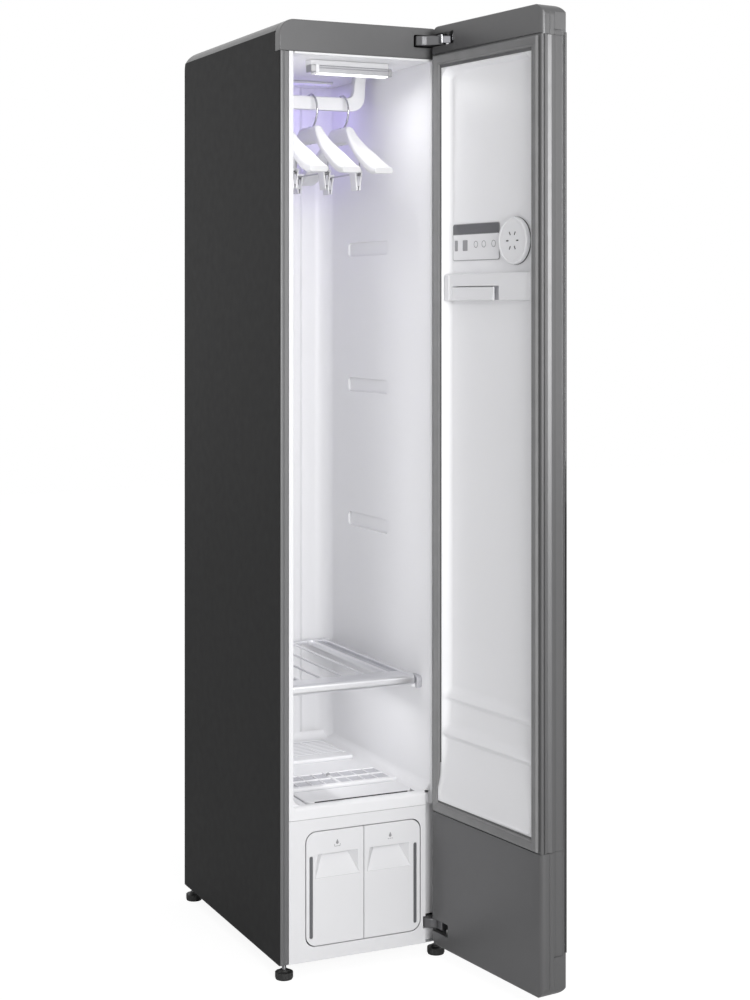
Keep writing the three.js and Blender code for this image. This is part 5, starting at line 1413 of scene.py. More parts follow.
class CABINET_OT_hangers(bpy.types.Operator):
    """Makes the three hangers with their hooks and clips."""

    bl_idname = "cabinet.hangers"
    bl_label = "Hangers"

    def execute(self, context):
        for name in ("left", "middle", "right"):
            hook = f"hanger_{name}_hook"
            low, high = reach(hook)
            x, y = halfway(low, high)[0], halfway(RAIL_LOW, RAIL_HIGH)[1]
            centre = high.z - (HOOK_RADIUS + HOOK_WIRE)
            collar = centre - HOOK_DROP
            self.hook(hook, x, y, centre, low.z)
            self.shoulder(f"hanger_{name}_shoulder", x, y, collar)
            self.clips(f"hanger_{name}_clips", x, y, collar)
        return {"FINISHED"}

    def hook(self, node, x, y, centre, low):
        path = []
        for k in range(49):
            turn = math.radians(16 + 219 * k / 48)
            path.append(
                Vector((x, y + HOOK_RADIUS * math.cos(turn), centre + HOOK_RADIUS * math.sin(turn)))
            )
        end, neck = path[-1], Vector((x, y, centre - HOOK_DROP))
        bend = end + (path[-1] - path[-2]).normalized() * 14
        for k in range(1, 9):
            t = k / 8
            path.append(end.lerp(bend, t).lerp(bend.lerp(neck, t), t))
        path.append(Vector((x, y, low)))
        bar = wire(node + "_wire", path, HOOK_WIRE, sides=14)
        tip = turned([(1, -3.4), (2.6, -2.4), (3.2, 0), (2.6, 2.4), (1, 3.4)], "z", 0, 0, 14)
        bmesh.ops.translate(tip, vec=path[0], verts=tip.verts)
        ferrule = [
            (2.3, centre - 31.5), (4.2, centre - 32.5), (4.6, centre - 40.5), (3, centre - 41)
        ]
        whole = gather(
            bar, loose_object(node + "_tip", tip), lathed(node + "_ferrule", ferrule, "z", x, y, 20)
        )
        stand_in(whole, node, "plated_wire", "hook")

    def shoulder(self, node, x, y, collar):
        low, high = reach(node)
        half = (high.y - low.y) / 2
        shares = shoulder_shares(44)
        rings = []
        for sign, stations in ((-1, shares[:0:-1]), (1, shares)):
            for along, wide, top, bottom in stations:
                width = (17 + wide * 27) / 2
                up = collar + 7 - top * 102
                down = collar - 29 - bottom * 78
                rings.append(self.section(x, y + sign * along * half, width, down, up))
        mesh = bmesh.new()
        skin(mesh, rings)
        obj = loose_object(node + "_arms", mesh)
        stand_in(obj, node, "white_hanger", "hanger", 0.8)

    def section(self, x, y, width, low, high):
        """A section with flat sides and rounded corners."""
        edge = min(width * 0.9, (high - low) * 0.4, 8.0)
        outline = rectangle(x - width, x + width, low, high, edge, 5)
        return [(p.x, y, p.y) for p in outline]

    def clips(self, node, x, y, collar):
        z = collar - ROD_DROP
        ends = collar - 72
        rod_path = bent_path(
            [(x, y - 92, ends, 0), (x, y - 92, z, 4), (x, y + 92, z, 4), (x, y + 92, ends, 0)]
        )
        rod = wire(node + "_rod", rod_path, 1.6)
        place(rod, node, "machined_steel", "hook")
        white, dark, coils = [], [], []
        for side in (-CLIP_SIDE, CLIP_SIDE):
            c = y + side
            white.append(
                slab(node + "_cap", x - 9.5, x + 9.5, c - 15, c + 15, z + 1.5, z + 6.5, 2, "y")
            )
            for sign in (-1, 1):
                leg = fillet(
                    [
                        (x + sign * 8.8, z + 3, 0),
                        (x + sign * 5.6, z + 3, 0),
                        (x + sign * 2.0, z - 24, 6),
                        (x + sign * 1.6, z - 35, 0.4),
                        (x + sign * 4.4, z - 35, 1.2),
                        (x + sign * 5.2, z - 24, 6),
                    ],
                    4,
                )
                white.append(drawn(node + "_leg", leg, "y", c - 14, c + 14))
                pad = block(
                    x + sign * 1.3 - 1.3,
                    x + sign * 1.3 + 1.3,
                    c - 14.2,
                    c + 12,
                    z - 26,
                    z - 5,
                    0.5,
                    "y",
                )
                dark.append(loose_object(node + "_pad", pad))
            coil = turned([(2.4, -0.5), (3.2, -0.5), (3.2, 0.5), (2.4, 0.5)], "y", x, z, 18)
            bmesh.ops.translate(coil, vec=(0, c - 8, 0), verts=coil.verts)
            coils.append(row(node + f"_coil_{side > 0}", coil, 11, (0, 1.6, 0)))
        stand_in(gather(*white), node, "white_hanger", "hanger", 0.6)
        # The grey pads fill the gap where the jaws meet: painted shade of that gap.
        place(gather(*dark), node, "shaded_fitting", "gasket", bevel=0.2)
        place(gather(*coils), node, "machined_steel", "crank_metal")


class CABINET_OT_shelf(bpy.types.Operator):
    """Makes the lift-out wire shelf."""

    bl_idname = "cabinet.shelf"
    bl_label = "Shelf"

    def execute(self, context):
        wires = context.scene.cabinet_cavity.wires
        low, high = reach("shelf")
        x, y0, y1, top = high.x, low.y, high.y, high.z
        lift = 9.0
        seat, top = top - 9 + lift, top + lift
        front, rear = y0 + 16, y1 - 7
        nose = slab("shelf_nose", -x + 2, x - 2, front - 3, front + 17, top - 20, top + 0.6, 7, "x")
        soften(nose, 3.5 * MM, 4)
        settle(nose)
        strip = slab(
            "shelf_strip", -x + 8, x - 8, front + 12, front + 54, seat, top - 0.5, 2.5, "x"
        )
        rails, bands = [], []
        for sign in (-1, 1):
            for outer, inner, base, crest, pile in (
                (0.5, 13, seat, top + 1, rails),
                (12, 36, seat, top - 5, bands),
                (35, 42, seat - 3, top, rails),
            ):
                a, b = sorted((sign * (x - outer), sign * (x - inner)))
                bar = block(a, b, front + (8 if outer < 1 else 40), rear, base, crest, 2.4, "y")
                pile.append(loose_object("shelf_rail", bar))
        end = slab("shelf_end", -x + 8, x - 8, rear - 12, rear, seat, top, 3, "x")
        clips = [
            slab("shelf_clip", a, a + 14, rear - 20, rear - 2, seat, top + 1, 3, "y")
            for a in (-x + 36, x - 50)
        ]
        pitch = 2 * (x - 42) / (wires + 1)
        bar = turned([(2.3, front + 40), (2.3, rear - 6)], "y", -x + 42 + pitch, top - 3, 14)
        bars = row("shelf_wires", bar, wires, (pitch, 0, 0))
        # The recessed bands are grey: painted shade in the hollows beside the rails.
        place(gather(*bands), "shelf", "shaded_fitting", "shelf_wire", bevel=0.4)
        whole = gather(nose, strip, *rails, end, *clips, bars)
        stand_in(whole, "shelf", "satin_bar", "shelf_wire", 0.4)
        return {"FINISHED"}


# The steam module


class CABINET_OT_module(bpy.types.Operator):
    """Makes the module's face and the two bays behind it."""

    bl_idname = "cabinet.module"
    bl_label = "Steam module"

    def execute(self, context):
        high = reach("tank_housing")[1]
        width, top = high.x, high.z
        bay = bay_opening()
        face = slab("module_face", -width, width, FRONT, FRONT + 2.5, 0, top - 0.4)
        carve(
            face,
            solid((rectangle(*bay, 22), "y", FRONT - CUT, FRONT + 10)),
            block(SILL_END, width + CUT, FRONT - CUT, FRONT + 10, -CUT, top + CUT),
        )
        side = block(SILL_END - 2.4, SILL_END, FRONT + 1, FRONT + 15, 0, top - 0.4)
        step = loose_object("module_step", side)
        strip = slab("module_return", SILL_END - 2, width, FRONT + 13, FRONT + 15, 0, top)
        arm_low, arm_high = reach("lower_hinge")
        arm = block(
            arm_low.x - 1.3, width + CUT, FRONT - CUT, FRONT + 65, arm_low.z + 6.5, arm_high.z - 6.5
        )
        pieces = [carve(piece, arm.copy()) for piece in (face, step, strip)]
        whole = gather(*pieces)
        arm.free()
        outer = block(bay[0] - 2.5, bay[1] + 2.5, FRONT + 1.2, high.y, bay[2] - 2.5, bay[3] + 2.5)
        tray = loose_object("module_tray", outer)
        carve(tray, block(bay[0], bay[1], FRONT - CUT, high.y - 2.5, bay[2], bay[3]))
        wall = block(-1, 1, FRONT + 25, high.y - 1, bay[2] - 1, bay[3] + 1)
        whole = gather(whole, tray, loose_object("module_divider", wall))
        stand_in(whole, "tank_housing", "white_fitting", "fitting", 0.5)
        return {"FINISHED"}


def bay_opening():
    """The opening's left, right, bottom and top, from the two fronts and their gap."""
    low, high = reach("supply_tank_front", "drain_tank_front")
    return low.x - 1, high.x + 1, low.z - 1, high.z + 1


LEVEL_X = 112
LEVEL_LOW, LEVEL_HIGH = 43, 203
FRONT_CORNER = 21
GRIP_LOW, GRIP_HIGH = 159, 205
MARK_X, MARK_Z = 57, 224
MARK_SHARE = 0.58


class CABINET_OT_tanks(bpy.types.Operator):
    """Makes the two water tanks with their caps."""

    bl_idname = "cabinet.tanks"
    bl_label = "Tanks"

    def execute(self, context):
        for name, sign in (("supply", -1), ("drain", 1)):
            self.front(name, sign)
            self.marks(name, sign)
            dress(f"{name}_tank_body", "smoky_clear", "tank", 1.2, 3)
            self.cap(f"{name}_tank_cap")
        return {"FINISHED"}

    def front(self, name, sign):
        node = f"{name}_tank_front"
        low, high = reach(node)
        radii = (0, FRONT_CORNER, FRONT_CORNER, 0)
        if sign < 0:
            radii = (FRONT_CORNER, 0, 0, FRONT_CORNER)
        outer = 0.9 * sign
        near_x, far_x = sorted(
            (low.x if sign > 0 else high.x, (high.x if sign > 0 else low.x) - outer)
        )
        outline = rectangle(near_x, far_x, low.z + 0.9, high.z - 0.9, radii)
        front = drawn(node + "_shape", outline, "y", low.y, high.y)
        level = rectangle(sign * LEVEL_X - 3.5, sign * LEVEL_X + 3.5, LEVEL_LOW, LEVEL_HIGH, 3.5, 8)
        near, far = sorted((sign * 8, sign * 103))
        grip = bmesh.new()
        sheer = [(near, FRONT - CUT), (far, FRONT - CUT)]
        shallow = [*sheer, (far, FRONT + 1.4), (near, FRONT + 1.4)]
        deep = [*sheer, (far - 22, FRONT + 22), (near + 24, FRONT + 22)]
        skin(grip, [[(x, y, GRIP_LOW) for x, y in shallow], [(x, y, GRIP_HIGH) for x, y in deep]])
        carve(front, solid((level, "y", FRONT - CUT, FRONT + 3)), grip)
        stand_in(front, node, "white_fitting", "fitting", 1.1, 3)
        pane = rectangle(
            sign * LEVEL_X - 2.9, sign * LEVEL_X + 2.9, LEVEL_LOW + 0.6, LEVEL_HIGH - 0.6, 2.9, 8
        )
        window = drawn(node + "_level", pane, "y", FRONT + 0.7, FRONT + 3.4)
        place(window, node, "dark_window", "tank", bevel=0.3)

    def marks(self, name, sign):
        """A drop over a tray, or a drop over a drain slot."""
        node = f"{name}_tank_front"
        x, z, share = sign * MARK_X, MARK_Z, MARK_SHARE
        drop = []
        for k in range(25):
            turn = math.radians(-215 + 250 * k / 24)
            drop.append((x + 5 * share * math.cos(turn), z + 5 * share * math.sin(turn)))
        drop.append((x, z + 12 * share))
        skin_y = (FRONT - 0.15, FRONT + 0.4)
        shapes = [solid((drop, "y", *skin_y))]
        if sign < 0:
            tray = [
                (-12, -4),
                (-10.5, -4),
                (-9, -11),
                (9, -11),
                (10.5, -4),
                (12, -4),
                (10.2, -12.6),
                (-10.2, -12.6),
            ]
            shapes.append(solid(([(x + a * share, z + b * share) for a, b in tray], "y", *skin_y)))
        else:
            for a in (-9, -2, 5):
                shapes.append(block(x + a * share, x + (a + 5) * share, *skin_y, z - 6.4, z - 5.4))
        marks = gather(*(loose_object(f"{node}_mark_{i}", s) for i, s in enumerate(shapes)))
        place(marks, node, "grey_moulding", "cap")

    def cap(self, node):
        low, high = reach(node)
        x, y, _ = halfway(low, high)
        z, top = high.z - 8, high.z
        profile = [(15, low.z), (15, z + 0.2), (21, z + 0.2), (21.2, top - 2), (20, top - 0.8)]
        profile += [(16.5, top - 0.7), (15.5, top - 2.2), (6, top - 2.2), (5, top - 1)]
        knob = lathed(node + "_knob", profile, "z", x, y, 60)
        rib = block(20.4, 22, -0.9, 0.9, 0.8, 6.6, 0.5)
        ribs = ring(node + "_ribs", rib, 36, (x, y, z))
        bar = slab(node + "_bar", x - 16, x + 16, y - 2.4, y + 2.4, top - 3, top - 0.3, 1, "x")
        stand_in(gather(knob, ribs, bar), node, "grey_moulding", "cap")


# The machinery


class CABINET_OT_machinery(bpy.types.Operator):
    """Dresses the compressor, exchanger, fan, steam generator and control box."""

    bl_idname = "cabinet.machinery"
    bl_label = "Machinery"

    def execute(self, context):
        self.compressor()
        self.exchanger()
        self.fan()
        self.generator()
        self.control()
        return {"FINISHED"}

    def compressor(self):
        low, high = reach("compressor")
        x, y, _ = halfway(low, high)
        z, top = low.z, high.z
        profile = [(40, z + 12), (50, z + 16), (54, z + 26)]
        profile += [(54, z + 96), (55.5, z + 96.5), (55.5, z + 99.5), (54, z + 100), (54, top - 26)]
        for k in range(1, 9):
            turn = math.pi / 2 * k / 9
            profile.append((54 * math.cos(turn), top - 26 + 26 * math.sin(turn)))
        can = lathed("compressor_can", profile, "z", x, y, 64)
        plate = slab("compressor_feet", x - 46, x + 46, y - 46, y + 46, z + 4, z + 7, 14)
        box = slab("compressor_terminals", x - 17, x + 17, y - 64, y - 48, z + 60, z + 104, 4, "x")
        grommet = [(8, z), (8, z + 4), (6, z + 6), (8, z + 8), (8, z + 12)]
        feet = [
            row(name, turned(grommet, "z", x - 34, y + side, 24), 2, (68, 0, 0))
            for name, side in (("compressor_grommets", -34), ("compressor_grommets_rear", 34))
        ]
        stand_in(gather(can, plate, box), "compressor", "black_enamel", "machine", 1.0)
        place(gather(*feet), "compressor", "black_rubber", "foot")

    def exchanger(self):
        low, high = reach("heat_exchanger")
        ends = [
            slab("exchanger_end", a, a + 2, low.y, high.y, low.z, high.z)
            for a in (low.x, high.x - 2)
        ]
        fin = block(low.x + 4, low.x + 4.5, low.y + 2, high.y - 2, low.z + 1, high.z - 1)
        fins = row("exchanger_fins", fin, 50, (3.05, 0, 0))
        stand_in(gather(fins, *ends), "heat_exchanger", "bare_fins", "fins")
        pipes = []
        for k in range(5):
            z = low.z + 25 + 44 * k
            bend = bent_path(
                [
                    (low.x + 1, low.y + 16, z, 0),
                    (high.x + 6, low.y + 16, z, 6),
                    (high.x + 6, low.y + 44, z, 6),
                    (low.x + 1, low.y + 44, z, 0),
                ]
            )
            pipes.append(wire(f"exchanger_pipe_{k}", bend, 3.5, sides=10))
        place(gather(*pipes), "heat_exchanger", "copper_pipe", "crank_metal")

    def fan(self):
        dress("fan_housing", "black_moulding", "motor", 1.4, 3)
        low, high = reach("fan_impeller")
        x, _, z = halfway(low, high)
        y0, y1 = low.y, high.y - 4
        profile = [(12, y0 + 8), (16, y0 + 12), (20, y1 - 10), (60, y1 - 3), (62, y1 - 2)]
        profile += [(62, y1), (8, y1), (8, high.y)]
        hub = lathed("impeller_hub", profile, "y", x, z, 56)
        collar = [(57, y0), (62, y0), (62, y0 + 3), (57, y0 + 3)]
        rim = loose_object("impeller_rim", looped(turns(collar, "y", x, z, 56)))
        blade = fillet(
            [(47, -1.2, 0), (47, 0.2, 0), (56, 4.4, 8), (61, 6.6, 0), (61.4, 5.6, 0), (56, 3.0, 8)],
            4,
        )
        blades = ring(
            "impeller_blades",
            solid((blade, "z", 0, y1 - y0 - 1)),
            36,
            (x, y1 - 0.5, z),
            (math.pi / 2, 0, 0),
        )
        stand_in(gather(hub, rim, blades), "fan_impeller", "grey_moulding", "impeller")

    def generator(self):
        low, high = reach("steam_generator")
        x, y, _ = halfway(low, high)
        z = low.z
        tank = rectangle(low.x, high.x, z, z + 110, (4, 4, 20, 20))
        body = drawn("generator_tank", tank, "y", low.y, high.y)
        spout = [
            (13, z + 104),
            (13, z + 114),
            (10, z + 118),
            (10, high.z - 14),
            (11, high.z - 12),
            (11, high.z),
        ]
        neck = lathed("generator_spout", spout, "z", x, y, 32)
        band_outline = rectangle(low.x - 1.2, high.x + 1.2, z - 0.2, z + 111.2, (4, 4, 21, 21))
        band = solid((band_outline, "y", low.y + 14, low.y + 22))
        bands = row("generator_bands", band, 2, (0, 34, 0))
        stand_in(gather(body, neck, bands), "steam_generator", "machined_steel", "boiler", 1.0)

    def control(self):
        low, high = reach("control_box")
        box = slab("control_case", low.x, high.x, low.y, high.y, low.z, high.z, 3, "y")
        rib = block(low.x + 8, high.x - 8, low.y - 0.8, low.y + 2, low.z + 12, low.z + 15, 1, "x")
        ribs = row("control_ribs", rib, 6, (0, 0, 12))
        stand_in(gather(box, ribs), "control_box", "grey_moulding", "control", 1.0)


# The door, drawn shut

DOOR_RADIUS = 22.0
DOOR_EDGE = 2.5
FOOT_EDGE = 7.0
GROOVE_LOW, GROOVE_HIGH = 74.0, 1776.0
PAN_SIDE = 145.0
PAN_LOW, PAN_HIGH = 294.0, 1736.0
PAN_FLOOR = DOOR_INNER - 20
PAN_KNEE = 512.0
PAN_LIP = DOOR_INNER - 1.6
PAN_FLUSH = 345.0
PAN_RIM = DOOR_INNER - 1.2
RIDGES = (513.0, 442.0)
RIDGE_RISE = 8.0
TOUCH_RING, TOUCH_DOTS = 1180, 1120
PLATE_LOW, PLATE_HIGH = 1357, 1429
PLATE_NEAR, PLATE_FAR = -22, 132


class CABINET_OT_door_frame(bpy.types.Operator):
    """Makes the door's frame, cap and foot with the finger groove."""

    bl_idname = "cabinet.door_frame"
    bl_label = "Door frame"

    def execute(self, context):
        self.shell()
        self.cap()
        self.foot()
        self.glass()
        return {"FINISHED"}

    def plan(self, front):
        """The frame's outline seen from above, with the ribs of its free edge."""
        inner = DOOR_INNER
        ribs = [
            (-SIDE + 2.2, inner, 2.0),
            (-SIDE + 0.2, inner - 2.6, 1.0),
            (-SIDE + 0.2, inner - 4.2, 0.4),
            (-SIDE + 2.4, inner - 4.9, 0.4),
            (-SIDE + 2.4, inner - 7.2, 0.4),
            (-SIDE + 0.2, inner - 7.9, 0.4),
            (-SIDE + 0.2, inner - 11.8, 0.6),
            (-SIDE + 3.4, inner - 12.8, 0.4),
            (-SIDE + 3.4, inner - 16.2, 0.8),
        ]
        return fillet(
            [(SIDE, front, 2.0), (SIDE, inner, 2.5), *ribs, *self.nose(), (-SIDE, front, 2.0)], 6
        )

    def end_plan(self):
        """The outline of the cap and foot, rounder than the frame between them."""
        inner = DOOR_INNER
        edge = [
            (-SIDE, inner, 11.0),
            (-SIDE, inner - 17, 1.5),
            (-SIDE + 1.8, inner - 19, 1.0),
            (-SIDE, inner - 21, 1.5),
            (-SIDE, inner - 29, 3.0),
            (-SIDE + 1.4, inner - 31, 1.0),
            (-SIDE + 1.4, DOOR_FRONT, 3.0),
        ]
        return fillet([(SIDE, DOOR_FRONT, 2.0), (SIDE, inner, 2.5), *edge], 8)

    def nose(self):
        """The rounded bead between the ribs and the groove."""
        inner = DOOR_INNER
        return [(-SIDE, inner - 23.2, 6.0), (-SIDE, inner - 27.4, 1.0)]

    def groove(self, low, high):
        """A cutter for the finger groove, deep at its inner side."""
        outline = fillet(
            [
                (-SIDE - CUT, DOOR_INNER - 28.0, 0),
                (-SIDE, DOOR_INNER - 28.0, 0),
                (-SIDE + 3, DOOR_INNER - 30.0, 2.0),
                (-SIDE + 4.5, DOOR_INNER - 36.0, 4.0),
                (-SIDE + 3, DOOR_INNER - 49.6, 2.0),
                (-SIDE, DOOR_INNER - 51.4, 0),
                (-SIDE - CUT, DOOR_INNER - 51.4, 0),
            ],
            8,
        )
        return solid((outline, "z", low, high))

    def shell(self):
        low, high = shut_reach("door_shell")
        back = low.y
        outline = self.plan(back)
        shell = drawn("door_shell_shape", outline, "z", low.z, high.z)
        groove = self.groove(low.z - CUT, high.z + CUT)
        window = block(
            -PAN_SIDE - 2.3,
            PAN_SIDE + 2.3,
            DOOR_FRONT - CUT,
            DOOR_INNER + CUT,
            PAN_LOW - 2.3,
            PAN_HIGH + 2.3,
        )
        hollow = block(-SIDE + 19, SIDE - 3, back - CUT, DOOR_INNER - 3, low.z + 3, high.z - 3)
        bay = block(
            PAN_SIDE, PAN_SIDE + 14, DOOR_INNER - 12, DOOR_INNER + CUT, PAN_LOW - 2.3, PAN_LOW + 75
        )
        carve(shell, window, bay, hollow, groove)
        stand_in(shell, "door_shell", "satin_door", "door_frame", 0.4, shut=True)

    def cap(self):
        low, high = shut_reach("door_cap")
        cap = self.ending(
            "door_cap_shape",
            rectangle(-SIDE, SIDE, low.z, high.z, (0, 0, DOOR_RADIUS, DOOR_RADIUS), 16),
            rectangle(
                DOOR_FRONT, DOOR_INNER, low.z - CUT, high.z, (0, 0, DOOR_EDGE, DOOR_RADIUS), 12
            ),
        )
        glass_top = shut_reach("door_glass")[1].z
        back = shut_reach("door_shell")[0].y
        lap = block(-SIDE - CUT, SIDE + CUT, DOOR_FRONT - CUT, back, low.z - CUT, glass_top + 0.3)
        seam = block(
            -SIDE + 2, SIDE - 2, DOOR_INNER - 3, DOOR_INNER + CUT, low.z - CUT, low.z + 2.4
        )
        carve(cap, lap, seam, self.groove(low.z - CUT, GROOVE_HIGH), self.notch("upper_hinge"))
        stand_in(cap, "door_cap", "satin_door", "door_frame", 0.7, shut=True)

    def foot(self):
        low, high = shut_reach("door_foot")
        glass_low = shut_reach("door_glass")[0].z
        back = shut_reach("door_shell")[0].y
        foot = self.ending(
            "door_foot_shape",
            rectangle(-SIDE, SIDE, low.z, high.z, (DOOR_RADIUS, DOOR_RADIUS, 0, 0), 16),
            rectangle(
                DOOR_FRONT, DOOR_INNER, low.z, high.z + CUT, (DOOR_RADIUS, FOOT_EDGE, 0, 0), 12
            ),
        )
        lap = block(-SIDE - CUT, SIDE + CUT, DOOR_FRONT - CUT, back, glass_low - 0.3, high.z + CUT)
        seam = block(
            -SIDE + 2, SIDE - 2, DOOR_INNER - 3, DOOR_INNER + CUT, high.z - 1.2, high.z + CUT
        )
        carve(foot, lap, seam, self.groove(GROOVE_LOW, high.z + CUT), self.notch("lower_hinge"))
        stand_in(foot, "door_foot", "satin_door", "door_frame", 0.7, shut=True)

    def ending(self, name, face, profile):
        """An end of the door with round corners seen from the front and from the side."""
        obj = drawn(name, face, "y", DOOR_FRONT, DOOR_INNER)
        obj = trimmed(obj, solid((profile, "x", -SIDE - CUT, SIDE + CUT)))
        return trimmed(obj, solid((self.end_plan(), "z", -CUT, BODY_HIGH.z + 100)))

    def notch(self, node):
        """Room for the hinge arm from the shut to the widest open door."""
        low, high = reach(node)
        return block(
            low.x - 8, SIDE + CUT, low.y - 12, DOOR_INNER + CUT, low.z + 6, high.z - 6, 2.0, "y"
        )

    def glass(self):
        low, high = shut_reach("door_glass")
        pane = slab("glass_pane", low.x, high.x, low.y, high.y, low.z, high.z)
        stand_in(pane, "door_glass", "dark_glass", "door_glass", 0.9, 3, shut=True)
        ring_mark = [(10.5, low.y - 0.1), (12, low.y - 0.1), (12, low.y + 0.4), (10.5, low.y + 0.4)]
        start = loose_object("touch_ring", looped(turns(ring_mark, "y", 0, TOUCH_RING, 48)))
        dot = turned([(1.3, low.y - 0.1), (1.3, low.y + 0.4)], "y", -24, TOUCH_DOTS, 20)
        dots = row("touch_dots", dot, 5, (12, 0, 0))
        place(gather(start, dots), "door_glass", "grey_moulding", "cap", shut=True)


def flare_at(z):
    """How far the pan's hinge side has widened at a height, from 0 to 1."""
    return math.exp(-(((z - PAN_LOW - 12) / 27) ** 2))


class CABINET_OT_door_pan(bpy.types.Operator):
    """Makes the door's moulded inner pan and its seal."""

    bl_idname = "cabinet.door_pan"
    bl_label = "Door pan"

    def execute(self, context):
        self.settings = context.scene.cabinet_door
        across = self.lines(-PAN_SIDE - 4, PAN_SIDE + 13, 41, 14, 1.4)
        up = self.lines(PAN_LOW - 5, PAN_HIGH + 5, 40, 18, 1.4)
        for top in (*RIDGES, PAN_LOW + 110):
            up += [top - 40 + 2.5 * k for k in range(24)]
        up = sorted(set(round(z, 2) for z in up))
        pan = loose_object("pan_sheet", relief_sheet(across, up, self.depth, 1.6))
        stand_in(pan, "door_liner", "white_lining", "door_liner", shut=True)
        self.seal()
        return {"FINISHED"}

    def lines(self, low, high, border, wide, fine):
        """Grid lines that lie close together at both ends."""
        count = round(border / fine)
        near = [low + fine * k for k in range(count)]
        far = [high - fine * k for k in range(count)]
        middle = round((high - low - 2 * border) / wide)
        step = (high - low - 2 * border) / middle
        return near + [low + border + step * k for k in range(middle + 1)] + far[::-1]

    def depth(self, x, z):
        """The pan's surface at a spot, from its rim down to its floor."""
        rim, floor = PAN_RIM, PAN_FLOOR
        if z < PAN_KNEE:
            fall = min(1.0, (PAN_KNEE - z) / (PAN_KNEE - PAN_FLUSH))
            floor += (PAN_LIP - PAN_FLOOR) * fall
        for top in RIDGES:
            reach_out = 21 if z > top - 14 else 11
            rise = max(0.0, 1 - abs(z - top + 14) / reach_out)
            floor += RIDGE_RISE * rise * rise * (3 - 2 * rise)
        flare = flare_at(z) * min(1.0, max(0.0, x / 100))
        inside = self.inside(x, z, PAN_SIDE + flare * self.settings.flare)
        rim += 1.1 * flare
        rim += 1.6 * math.exp(-(((inside - 1) / 1.6) ** 2)) * min(1.0, max(0.0, -x / 100))
        draft = self.settings.pan_draft
        share = min(1.0, max(0.0, inside / draft))
        share = share * share * (3 - 2 * share)
        slow = 1 - (1 - min(1.0, max(0.0, inside / (2.2 * draft)))) ** 3
        blend = min(1.0, max(0.0, (x - 40) / 60))
        share += (slow - share) * blend
        return rim + (min(floor, rim - 1.0) - rim) * share

    def inside(self, x, z, side):
        """How far a spot lies within the pan's rounded opening."""
        radius = self.settings.pan_corner
        if z < PAN_LOW + 60:
            radius = 13.0
        a = abs(x) - (side - radius)
        middle = (PAN_LOW + PAN_HIGH) / 2
        b = abs(z - middle) - ((PAN_HIGH - PAN_LOW) / 2 - radius)
        outside = math.hypot(max(a, 0), max(b, 0)) + min(max(a, b), 0)
        return radius - outside

    def seal(self):
        low, high = shut_reach("door_gasket")
        base = low.y
        profile = [(0, 0), (0, 4.2), (1.4, 5.6), (4, 5.8), (13.2, 3.4), (14.2, 2.6), (15, 3.2)]
        profile += [(17, 3.2), (18, 2.2), (18.2, 0.6), (19, 0.6), (19, 0)]
        rings = []
        for inset, height in profile:
            x, z0, z1 = high.x - inset, low.z + inset, high.z - inset
            y = base + height
            side = [z0 + (z1 - z0) * k / 200 for k in range(40)] + [z1]
            shift = self.settings.flare * inset / 19
            right = [(x + shift * flare_at(z), y, z) for z in side]
            rings.append([(-x, y, z0), *right, (-x, y, z1)])
        seal = loose_object("seal_bellows", looped(rings))
        stand_in(seal, "door_gasket", "grey_rubber", "gasket", shut=True)


